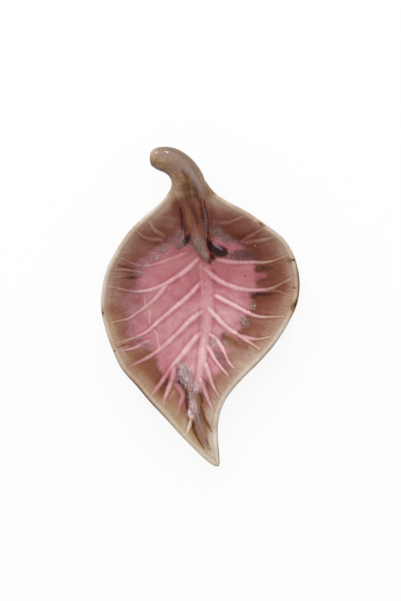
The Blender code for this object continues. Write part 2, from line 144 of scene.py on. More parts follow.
def softField(places, ovals):
    # The sum of soft ovals: amount times exp(-r r). A row is as above, ending in the amount.
    field = np.zeros(len(places))
    for *oval, amount in ovals:
        field += amount * np.exp(-inOval(places, *oval)[2])
    return field


def threadPlaces(places, ovals):
    # Where each place lies along and across the oval that it is deepest in, and how light that
    # oval is, in hundreds, so that ovals of another lightness have other threads.
    best = np.full(len(places), -9.0)
    found = np.zeros((len(places), 3))
    for *oval, _, light in ovals:
        along, across, squared = inOval(places, *oval)
        inside = 1 - np.sqrt(squared)
        closer = inside > best
        best = np.where(closer, inside, best)
        local = np.stack([along, across, np.full(len(places), 100 * light)], axis=1)
        found = np.where(closer[:, None], local, found)
    return found


def strokeField(places, strokes, stations=24):
    # 1 on a run of glaze, 0 at its half width and below 0 outside: the most over all runs. A
    # run is rows of x, y and half width.
    field = np.full(len(places), -1.0)
    for rows in strokes:
        path = pathAt(rows, np.linspace(0, 1, stations))
        reach, _ = pathReach(places, path[:, :2], path[:, 2])
        field = np.maximum(field, 1 - reach)
    return field


def outlineField(places, rows):
    # Distance to a closed outline, above 0 inside it: the nearest edge gives the distance, and
    # the count of edges that a line to the right crosses gives the side.
    corners = np.array(rows + rows[:1], float)
    gap = toStretches(places, corners)[0].min(axis=1)
    along = np.diff(corners, axis=0)
    x, y = places[:, :1], places[:, 1:]
    above = (corners[:-1, 1] > y) != (corners[1:, 1] > y)
    lift = np.where(along[:, 1] == 0, 1, along[:, 1])
    crossing = corners[:-1, 0] + (y - corners[:-1, 1]) * along[:, 0] / lift
    inside = (above & (x < crossing)).sum(axis=1) % 2 == 1
    return np.where(inside, gap, -gap)


def gridFaces(index):
    # Faces of four corners between each two rings of a grid, whose rings are closed.
    right = np.roll(index, -1, axis=1)
    return np.stack([index[:-1], index[1:], right[1:], right[:-1]], axis=2).reshape(-1, 4)


def newPiece(name, points, faces, fields, materials, faceSlots=None):
    # A mesh of the points in metres and the faces, with one value for each point in each field.
    mesh = bpy.data.meshes.new(name)
    mesh.from_pydata(points.tolist(), [], faces)
    for key, values in fields.items():
        values = np.asarray(values, np.float32)
        kind, slot = ("FLOAT_VECTOR", "vector") if values.ndim == 2 else ("FLOAT", "value")
        mesh.attributes.new(key, kind, "POINT").data.foreach_set(slot, values.ravel())
    for material in materials:
        mesh.materials.append(material)
    if faceSlots is not None:
        mesh.polygons.foreach_set("material_index", faceSlots)
    mesh.shade_smooth()
    piece = bpy.data.objects.new(name, mesh)
    bpy.context.scene.collection.objects.link(piece)
    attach(piece, "root")
    print("made", name, len(points), "points")
    return piece


# The leaf

leaf = {
    "width": 138.0,
    "length": 205.4,
    "middle": (-0.2028, -9.6827),  # where the outline's own middle lies
    "floorThickness": 5.0,
    "rimThickness": 4.2,
    "floorHeight": 7.8,  # of the middle of the floor's clay
    "wallRise": 20.0,
    "wallSpread": 31.0,
    "bendRadius": 7.0,
    "narrowBend": 0.5,  # the least q of the bend in wallRings
    "stations": 320,  # down each side
    "insideRings": 92,
    "lipRings": 11,
    "undersideRings": 30,
    "insideLip": 2 / 3,  # share of the lip's rings that have the inside's glaze
    # shares of the width and length, and the share of the midline that the place faces
    "leftRim": [
        (-0.052, 0.5, 0), (-0.098, 0.491, 0.012), (-0.125, 0.477, 0.03), (-0.14, 0.451, 0.06),
        (-0.194, 0.402, 0.115), (-0.284, 0.35, 0.175), (-0.359, 0.299, 0.225), (-0.419, 0.239, 0.27),
        (-0.47, 0.171, 0.31), (-0.492, 0.104, 0.345), (-0.497, 0.043, 0.38), (-0.477, -0.024, 0.415),
        (-0.439, -0.098, 0.455), (-0.389, -0.167, 0.5), (-0.318, -0.221, 0.54), (-0.261, -0.267, 0.575),
        (-0.179, -0.326, 0.65), (-0.091, -0.391, 0.75), (-0.009, -0.447, 0.87), (0.054, -0.485, 0.96),
        (0.088, -0.5, 1),
    ],
    "rightRim": [
        (-0.052, 0.5, 0), (-0.008, 0.493, 0.012), (0.017, 0.478, 0.03), (0.039, 0.457, 0.055),
        (0.074, 0.432, 0.09), (0.131, 0.406, 0.125), (0.24, 0.367, 0.175), (0.336, 0.322, 0.22),
        (0.422, 0.277, 0.255), (0.47, 0.224, 0.285), (0.498, 0.155, 0.32), (0.5, 0.105, 0.345),
        (0.486, 0.055, 0.37), (0.448, 0, 0.4), (0.389, -0.065, 0.44), (0.308, -0.13, 0.495),
        (0.215, -0.192, 0.565), (0.136, -0.254, 0.64), (0.095, -0.308, 0.72), (0.079, -0.36, 0.8),
        (0.078, -0.416, 0.89), (0.085, -0.473, 0.965), (0.088, -0.5, 1),
    ],
    # shares of the width and length, and the height as a share of the wall's rise
    "midline": [
        (-0.052, 0.47, 1.06), (-0.047, 0.425, 0.87), (-0.028, 0.366, 0.52), (-0.003, 0.293, 0.13),
        (0.018, 0.22, 0), (0.031, 0.123, 0), (0.034, 0.029, 0), (0.021, -0.062, 0), (0, -0.145, 0.03),
        (-0.021, -0.221, 0.17), (-0.023, -0.291, 0.38), (-0.003, -0.361, 0.62), (0.034, -0.427, 0.85),
        (0.067, -0.472, 1.04),
    ],
    # by the share of the midline, as a share of the wall's rise
    "rimHeight": [
        (0, 1.1), (0.1, 1.03), (0.25, 1), (0.4, 0.97), (0.55, 1), (0.75, 1.03), (0.9, 1.08), (1, 1.14),
    ],
}

# Each vein: how pale it stands out, half its width, how much of its length lies in the pink
# glaze, and its places as shares of the leaf's width and length
veins = {
    "left1": (0.55, 1.6, 0.75, [
        (-0.064, 0.237), (-0.135, 0.218), (-0.207, 0.201), (-0.285, 0.189), (-0.435, 0.224),
    ]),
    "left1fork": (0.8, 1.5, 0.1, [(-0.305, 0.166), (-0.373, 0.175), (-0.45, 0.177)]),
    "left2": (1, 2.1, 0.72, [
        (-0.01, 0.215), (-0.062, 0.18), (-0.124, 0.151), (-0.207, 0.118), (-0.316, 0.1),
        (-0.471, 0.119),
    ]),
    "left2fork": (0.9, 1.8, 0.75, [
        (-0.17, 0.13), (-0.238, 0.072), (-0.305, 0.036), (-0.373, 0.006), (-0.461, -0.008),
    ]),
    "left3": (1, 2.1, 0.9, [
        (0.01, 0.137), (-0.052, 0.09), (-0.116, 0.053), (-0.207, 0.001), (-0.29, -0.046),
        (-0.44, -0.081),
    ]),
    "left3fork": (0.8, 1.5, 0.85, [(-0.265, -0.07), (-0.342, -0.096), (-0.419, -0.107)]),
    "left4": (0.85, 2.1, 0.97, [
        (0.01, 0.029), (-0.041, 0.005), (-0.119, -0.048), (-0.197, -0.095), (-0.28, -0.133),
        (-0.367, -0.161),
    ]),
    "left5": (0.9, 2.5, 0.99, [
        (0, -0.046), (-0.054, -0.088), (-0.109, -0.135), (-0.152, -0.169), (-0.196, -0.212),
        (-0.253, -0.262),
    ]),
    "left5fork": (1.1, 2.5, 0.99, [(-0.13, -0.16), (-0.153, -0.22), (-0.189, -0.282)]),
    "left6": (0.36, 1.7, 0.75, [
        (-0.125, -0.227), (-0.098, -0.246), (-0.089, -0.261), (-0.099, -0.286), (-0.11, -0.312),
        (-0.124, -0.334),
    ]),
    "ribSide": (0.4, 2, 1, [(0.005, 0.189), (0.008, 0.14), (0.014, 0.098), (0.018, 0.064)]),
    "left7": (1.3, 2.2, 0, [(-0.036, -0.336), (-0.046, -0.354), (-0.057, -0.373), (-0.067, -0.392)]),
    "topLeft1": (0.5, 2.2, 0, [(-0.192, 0.297), (-0.225, 0.309), (-0.251, 0.328), (-0.261, 0.344)]),
    "topLeft2": (0.5, 2.2, 0, [(-0.202, 0.281), (-0.248, 0.281), (-0.29, 0.29), (-0.329, 0.311)]),
    "topRight1": (0.4, 2.2, 0, [(0.075, 0.34), (0.14, 0.34), (0.197, 0.352), (0.24, 0.365)]),
    "topRight2": (0.55, 2.2, 0, [(0.222, 0.275), (0.264, 0.293), (0.311, 0.314)]),
    "topRight3": (0.5, 2.2, 0, [(0.243, 0.272), (0.311, 0.277), (0.388, 0.291)]),
    "right1": (0.92, 1.8, 0.62, [
        (0.088, 0.211), (0.155, 0.204), (0.259, 0.203), (0.352, 0.203), (0.455, 0.227),
    ]),
    "right2": (1, 2.2, 0.72, [
        (0.026, 0.18), (0.067, 0.154), (0.124, 0.13), (0.197, 0.112), (0.347, 0.107), (0.476, 0.147),
    ]),
    "right2fork": (0.5, 1.4, 0.1, [(0.34, 0.107), (0.414, 0.1), (0.466, 0.086)]),
    # right3's paleness, above the other veins', is partly a painted highlight along its crest
    "right3": (1.2, 1.9, 0.66, [
        (0.08, 0.086), (0.14, 0.065), (0.207, 0.0415), (0.28, 0.0175), (0.435, 0.013),
    ]),
    "right4": (1.1, 2, 0.92, [
        (0.044, 0.043), (0.083, 0.013), (0.135, -0.022), (0.207, -0.055), (0.311, -0.1),
    ]),
    "right4fork": (0.9, 1.5, 0.5, [(0.21, -0.056), (0.3, -0.065), (0.373, -0.055)]),
    "right5": (1.1, 1.7, 0.9, [
        (0.049, -0.048), (0.085, -0.068), (0.122, -0.107), (0.148, -0.145), (0.197, -0.178),
    ]),
    "right6": (1.1, 1.7, 0.95, [(0.039, -0.089), (0.07, -0.128), (0.109, -0.164), (0.153, -0.197)]),
    "right7": (1.1, 2, 0.98, [(0.023, -0.148), (0.044, -0.185), (0.067, -0.228), (0.101, -0.267)]),
    "right8": (1.1, 2.1, 0.98, [(0.003, -0.209), (0.021, -0.242), (0.049, -0.288), (0.067, -0.315)]),
}

# Along each vein: rows of the share of its length and the share of the full value there
veinShape = {
    "rise": 0.45,
    "plainShare": 0.6,  # of the rise, whatever the vein, and the rest by how pale it is
    "paleShare": 0.4,
    "stations": 40,
    "rimFade": 12,  # 1 over the share of the way to the rim in which the relief ends
    "pinkFade": 6,  # 1 over the share of a vein in which its pink ends
    "width": [(0, 0.75), (0.1, 1), (1, 0.42)],
    "height": [(0, 0.3), (0.08, 1), (0.7, 0.9), (1, 0.35)],
    "pale": [(0, 0.6), (0.08, 1), (0.75, 0.85), (1, 0.3)],
}

midrib = {
    "rise": 0.45,
    "stations": 80,
    "height": [(0, 0.3), (0.1, 0.7), (0.5, 0.9), (1, 0.6)],
    "paleReach": 1.4,  # over its half width, as are the next two
    "besideReach": 1.5,  # the low lines at both sides of it
    "besideWidth": 0.4,
    "beside": [(0, 0.2), (0.1, 0.5), (0.5, 0.9), (0.8, 0)],
    # places as shares, half its width, and how pale it is
    "rows": [
        (0.04, 0.182, 2, 0.3), (0.036, 0.15, 3.5, 0.34), (0.036, 0.085, 3.7, 0.3),
        (0.036, 0.03, 3.6, 0.28), (0.028, -0.04, 3, 0.45), (0.016, -0.11, 2.7, 0.72),
        (0, -0.18, 2.3, 0.8), (-0.018, -0.25, 2, 0.7), (-0.016, -0.32, 1.7, 0.4),
        (0.014, -0.39, 1.5, 0.3), (0.05, -0.45, 1.2, 0.3),
    ],
}

# Beads where the glaze drew together: x, y, half size and height
beads = [
    (-7, -75.6, 2.4, 0.55), (-6.2, -71, 1.4, 0.25), (-11, -69.5, 1.2, 0.25), (3.2, -42.6, 1.4, 0.35),
    (5, -47.4, 1.2, 0.3), (1.2, -54, 1.3, 0.3), (-33.8, 34, 1.3, 0.25), (-27, 41, 1.8, 0.3),
    (16.4, 41.6, 1.4, 0.3), (31.2, -8.9, 1.2, 0.25), (30.4, -12.8, 1.2, 0.25), (9.5, -26, 1.3, 0.25),
]


def leafPlaces(rows):
    # Millimetres from rows that start with shares of the leaf's width and length.
    return np.array([row[:2] for row in rows]) * (leaf["width"], leaf["length"]) + leaf["middle"]


def evenStations(trials=4001):
    # Shares of the midline whose places on both edges together lie evenly apart.
    fine = np.linspace(0, 1, trials)
    gone = np.zeros(trials)
    for rows in (leaf["leftRim"], leaf["rightRim"]):
        gone += lengthKeys(smoothRows([row[2] for row in rows], leafPlaces(rows), fine))
    return np.interp(np.linspace(0, gone[-1], leaf["stations"] + 1), gone, fine)


def roundLeaf(left, right):
    # Once round: the stations down the left side, then up the right one.
    return np.concatenate([left, right[-2:0:-1]])


def leafOutline():
    # Once round the leaf: the rim's places, the midline's places that they face, and how far the
    # rim and the midline stand above the floor.
    stations = evenStations()
    places = leafPlaces(leaf["midline"])
    keys = lengthKeys(places)
    middle = smoothRows(keys, places, stations)
    lows = smoothRows(keys, [row[2] for row in leaf["midline"]], stations, level=True)
    highs = smoothRows(*zip(*leaf["rimHeight"]), stations, level=True)
    left, right = (
        smoothRows([row[2] for row in rows], leafPlaces(rows), stations)
        for rows in (leaf["leftRim"], leaf["rightRim"])
    )
    return (
        roundLeaf(left, right),
        roundLeaf(middle, middle),
        leaf["wallRise"] * roundLeaf(highs, highs)[:, 0],
        leaf["wallRise"] * roundLeaf(lows, lows)[:, 0],
    )


def wallRings(outline, shares):
    # The middle of the clay on rings between the midline, share 0, and the rim, share 1.
    # Part t of the wall's spread climbs as (1 + q) t t / (1 + q t), which bends quickly out of
    # the floor and then rises straight. Normals lean with the wall where the leaf is wide.
    rim, middle, highs, lows = outline
    shares = np.asarray(shares, float)[:, None]
    reach = np.linalg.norm(rim - middle, axis=1)
    spread = np.minimum(reach, leaf["wallSpread"])
    floor = 1 - spread / reach
    t = np.clip((shares - floor) / (1 - floor), 0, 1)
    climb = highs - lows
    q = np.maximum(spread**2 / (2 * climb * leaf["bendRadius"]) - 1, leaf["narrowBend"])
    bend = (1 + q) * t**2 / (1 + q * t)
    slope = (1 + q) * (2 * t + q * t**2) / (1 + q * t) ** 2
    heights = leaf["floorHeight"] + lows + climb * bend
    places = middle + shares[..., None] * (rim - middle)
    rings = np.concatenate([places, heights[..., None]], axis=2)
    outward = np.broadcast_to(rim - middle, places.shape)
    across = np.concatenate([outward, (climb * slope / (1 - floor))[..., None]], axis=2)
    along = np.roll(rings, -1, axis=1) - np.roll(rings, 1, axis=1)
    normals = unit(np.cross(along, across))
    normals = normals * np.where(normals[..., 2:] < 0, -1, 1)
    narrow = (1 - spread / leaf["wallSpread"])[:, None]
    normals = unit(normals * (1 - narrow) + up * narrow)
    mirrored = np.roll(normals[:, ::-1], 1, axis=1)
    normals = np.where(shares[..., None] == 0, unit(normals + mirrored), normals)
    outward = unit(np.cross(along, normals))
    outward = outward * np.where((outward * across).sum(axis=2, keepdims=True) < 0, -1, 1)
    return rings, normals, outward


def claySide(outline, shares, side):
    # One face of the clay on the same rings: half its thickness above its middle with side 1,
    # and below it with side -1. Also the normals there.
    rings, normals, _ = wallRings(outline, shares)
    thickness = leaf["floorThickness"] + (leaf["rimThickness"] - leaf["floorThickness"]) * shares
    return rings + side * normals * thickness[:, None, None] / 2, normals


def veinFields(places):
    # The relief, how far off the nearest vein lies over its half width, how pale and how pink
    # that vein is, how pale the midrib is, and 1 in the low lines at both sides of it. A rib's
    # section is (1 - r r) squared.
    reach = np.full(len(places), farOff)
    pale, pink, relief = np.zeros((3, len(places)))
    shares = np.linspace(0, 1, veinShape["stations"])
    plain, palest = veinShape["plainShare"], veinShape["paleShare"]
    for strength, width, pinkEnd, rows in veins.values():
        path = pathAt(leafPlaces(rows), shares)
        ratio, faced = pathReach(places, path, width * valueAt(shares, veinShape["width"]))
        rib = np.clip(1 - ratio**2, 0, 1) ** 2 * valueAt(faced, veinShape["height"])
        relief = np.maximum(relief, veinShape["rise"] * rib * (plain + palest * strength))
        closer = ratio < reach
        pinkShare = np.clip((pinkEnd - faced) * veinShape["pinkFade"] + 0.5, 0, 1)
        pale = np.where(closer, strength * valueAt(faced, veinShape["pale"]), pale)
        pink = np.where(closer, pinkShare, pink)
        reach = np.minimum(reach, ratio)
    rows = midrib["rows"]
    shares = np.linspace(0, 1, midrib["stations"])
    path = pathAt(np.column_stack([leafPlaces(rows), [row[2:] for row in rows]]), shares)
    ratio, faced = pathReach(places, path[:, :2], path[:, 2])
    rib = np.clip(1 - ratio**2, 0, 1) ** 2
    relief = relief + midrib["rise"] * rib * valueAt(faced, midrib["height"])
    ribPale = np.interp(faced, shares, path[:, 3]) * np.clip(midrib["paleReach"] - ratio, 0, 1)
    outside = (ratio - midrib["besideReach"]) / midrib["besideWidth"]
    beside = np.exp(-(outside**2)) * valueAt(faced, midrib["beside"])
    for x, y, size, height in beads:
        away = ((places - (x, y)) ** 2).sum(axis=1) / size**2
        relief = relief + height * np.clip(1 - away, 0, 1) ** 2
    return relief, reach, pale, pink, ribPale, beside


# The stem, and the clay that is smoothed against it

stem = {
    "width": 24.4,
    "thickness": 16.6,
    "stations": 360,
    "sides": 72,
    "endPoint": 0.1,  # how far the middle of its curled end stands out
    "glazeReach": 14.0,  # it is glazed as the wall is this far from the rim
    # by the sine of the angle round it, how far its side turns away, as on the leaf's lip, which darkens
    # its sides as painted shade
    "turn": [(-0.1, 0.76), (0.35, 0.64), (0.75, 0)],
    "endTurn": 0.6,
    # from its curled end to its point in the bowl: x, y, share of the full section, height of
    # its middle, and how far its underside lies below that
    "rows": [
        (-36.05, 105.75, 0.04, 38.73, 0.3), (-35.85, 105.75, 0.2, 38.73, 1.6),
        (-35.3, 105.75, 0.34, 38.73, 2.9), (-34.2, 105.72, 0.465, 38.73, 4),
        (-31.8, 105.66, 0.6, 38.73, 5.1), (-27.4, 105.25, 0.715, 38.4, 6),
        (-21.45, 103.95, 0.785, 37.74, 6.6), (-16.25, 100.85, 0.82, 36.91, 7),
        (-11.6, 95.62, 0.88, 35.91, 7.5), (-8.75, 89.2, 0.96, 34.52, 7), (-6.96, 82.54, 0.95, 32.17, 6),
        (-6.14, 76.17, 0.8, 28.66, 5), (-5.03, 69.19, 0.66, 24.53, 4.5), (-3.24, 60.56, 0.58, 19.59, 4),
        (-1.17, 51.94, 0.55, 15.2, 4), (1.32, 44.13, 0.46, 12.7, 3.5), (3.66, 37.56, 0.32, 11.51, 2.5),
        (5.87, 32.84, 0.15, 10.94, 1.2),
    ],
}

# How the leaf's clay is smoothed against the stem: rows of y and the value there
bedding = {
    "skin": [(66, 0.14), (92, -0.2)],  # how far it lies over the stem's own upper side
    "blend": [(36, 1.5), (50, 3), (66, 4), (78, 9), (90, 12)],  # how broadly the two meet
    "steepness": 1.2,  # of the drop past the stem's sides
    "lipFade": 1.6,  # 1 over the share of the lip's turn in which the smoothing ends
}


def stemPath():
    # Stations at even shares of the way from row to row, so that the round end is fine.
    rows = np.array(stem["rows"], float)
    steps = np.linspace(0, len(rows) - 1, stem["stations"])
    return pathAt(rows, np.interp(steps, np.arange(len(rows)), lengthKeys(rows[:, :2])))


def stemFrame(places):
    # Of each place: how far across the stem's path it lies, how far along it, that distance
    # across over the stem's half width, and the path's columns there.
    path = stemPath()
    reach, faced = pathReach(places, path[:, :2], stem["width"] / 2 * path[:, 2])
    keys = np.linspace(0, 1, len(path))
    along = unit(np.column_stack([np.gradient(path[:, :2], axis=0), np.zeros(len(path))]))
    columns, aim = (
        np.column_stack([np.interp(faced, keys, column) for column in table.T])
        for table in (path, along)
    )
    offset = places - columns[:, :2]
    across = offset[:, 0] * aim[:, 1] - offset[:, 1] * aim[:, 0]
    length = np.linalg.norm(np.diff(path[:, :2], axis=0), axis=1).sum()
    return across, faced * length, reach, columns


def bedded(points):
    # Clay smoothed against the stem: over each place the stem's upper side is an oval arch, and
    # past its sides a steep drop. The surface is the higher of that and the leaf, rounded where
    # they meet: broad over the neck, tighter inside the bowl. Down the bowl it covers the stem.
    _, _, reach, columns = stemFrame(points[:, :2])
    half = stem["width"] / 2 * columns[:, 2]
    arch = np.sqrt(np.clip(1 - reach**2, 0, 1)) * stem["thickness"] / 2 * columns[:, 2]
    drop = np.clip(reach - 1, 0, None) * half * bedding["steepness"]
    skin = valueAt(points[:, 1], bedding["skin"])
    high = np.where(reach < farOff, columns[:, 3] + arch - drop + skin, -1000)
    blend = valueAt(points[:, 1], bedding["blend"])
    low = points[:, 2]
    share = np.clip(0.5 + 0.5 * (high - low) / blend, 0, 1)
    return low + (high - low) * share + blend * share * (1 - share)


# Where the glazes lie

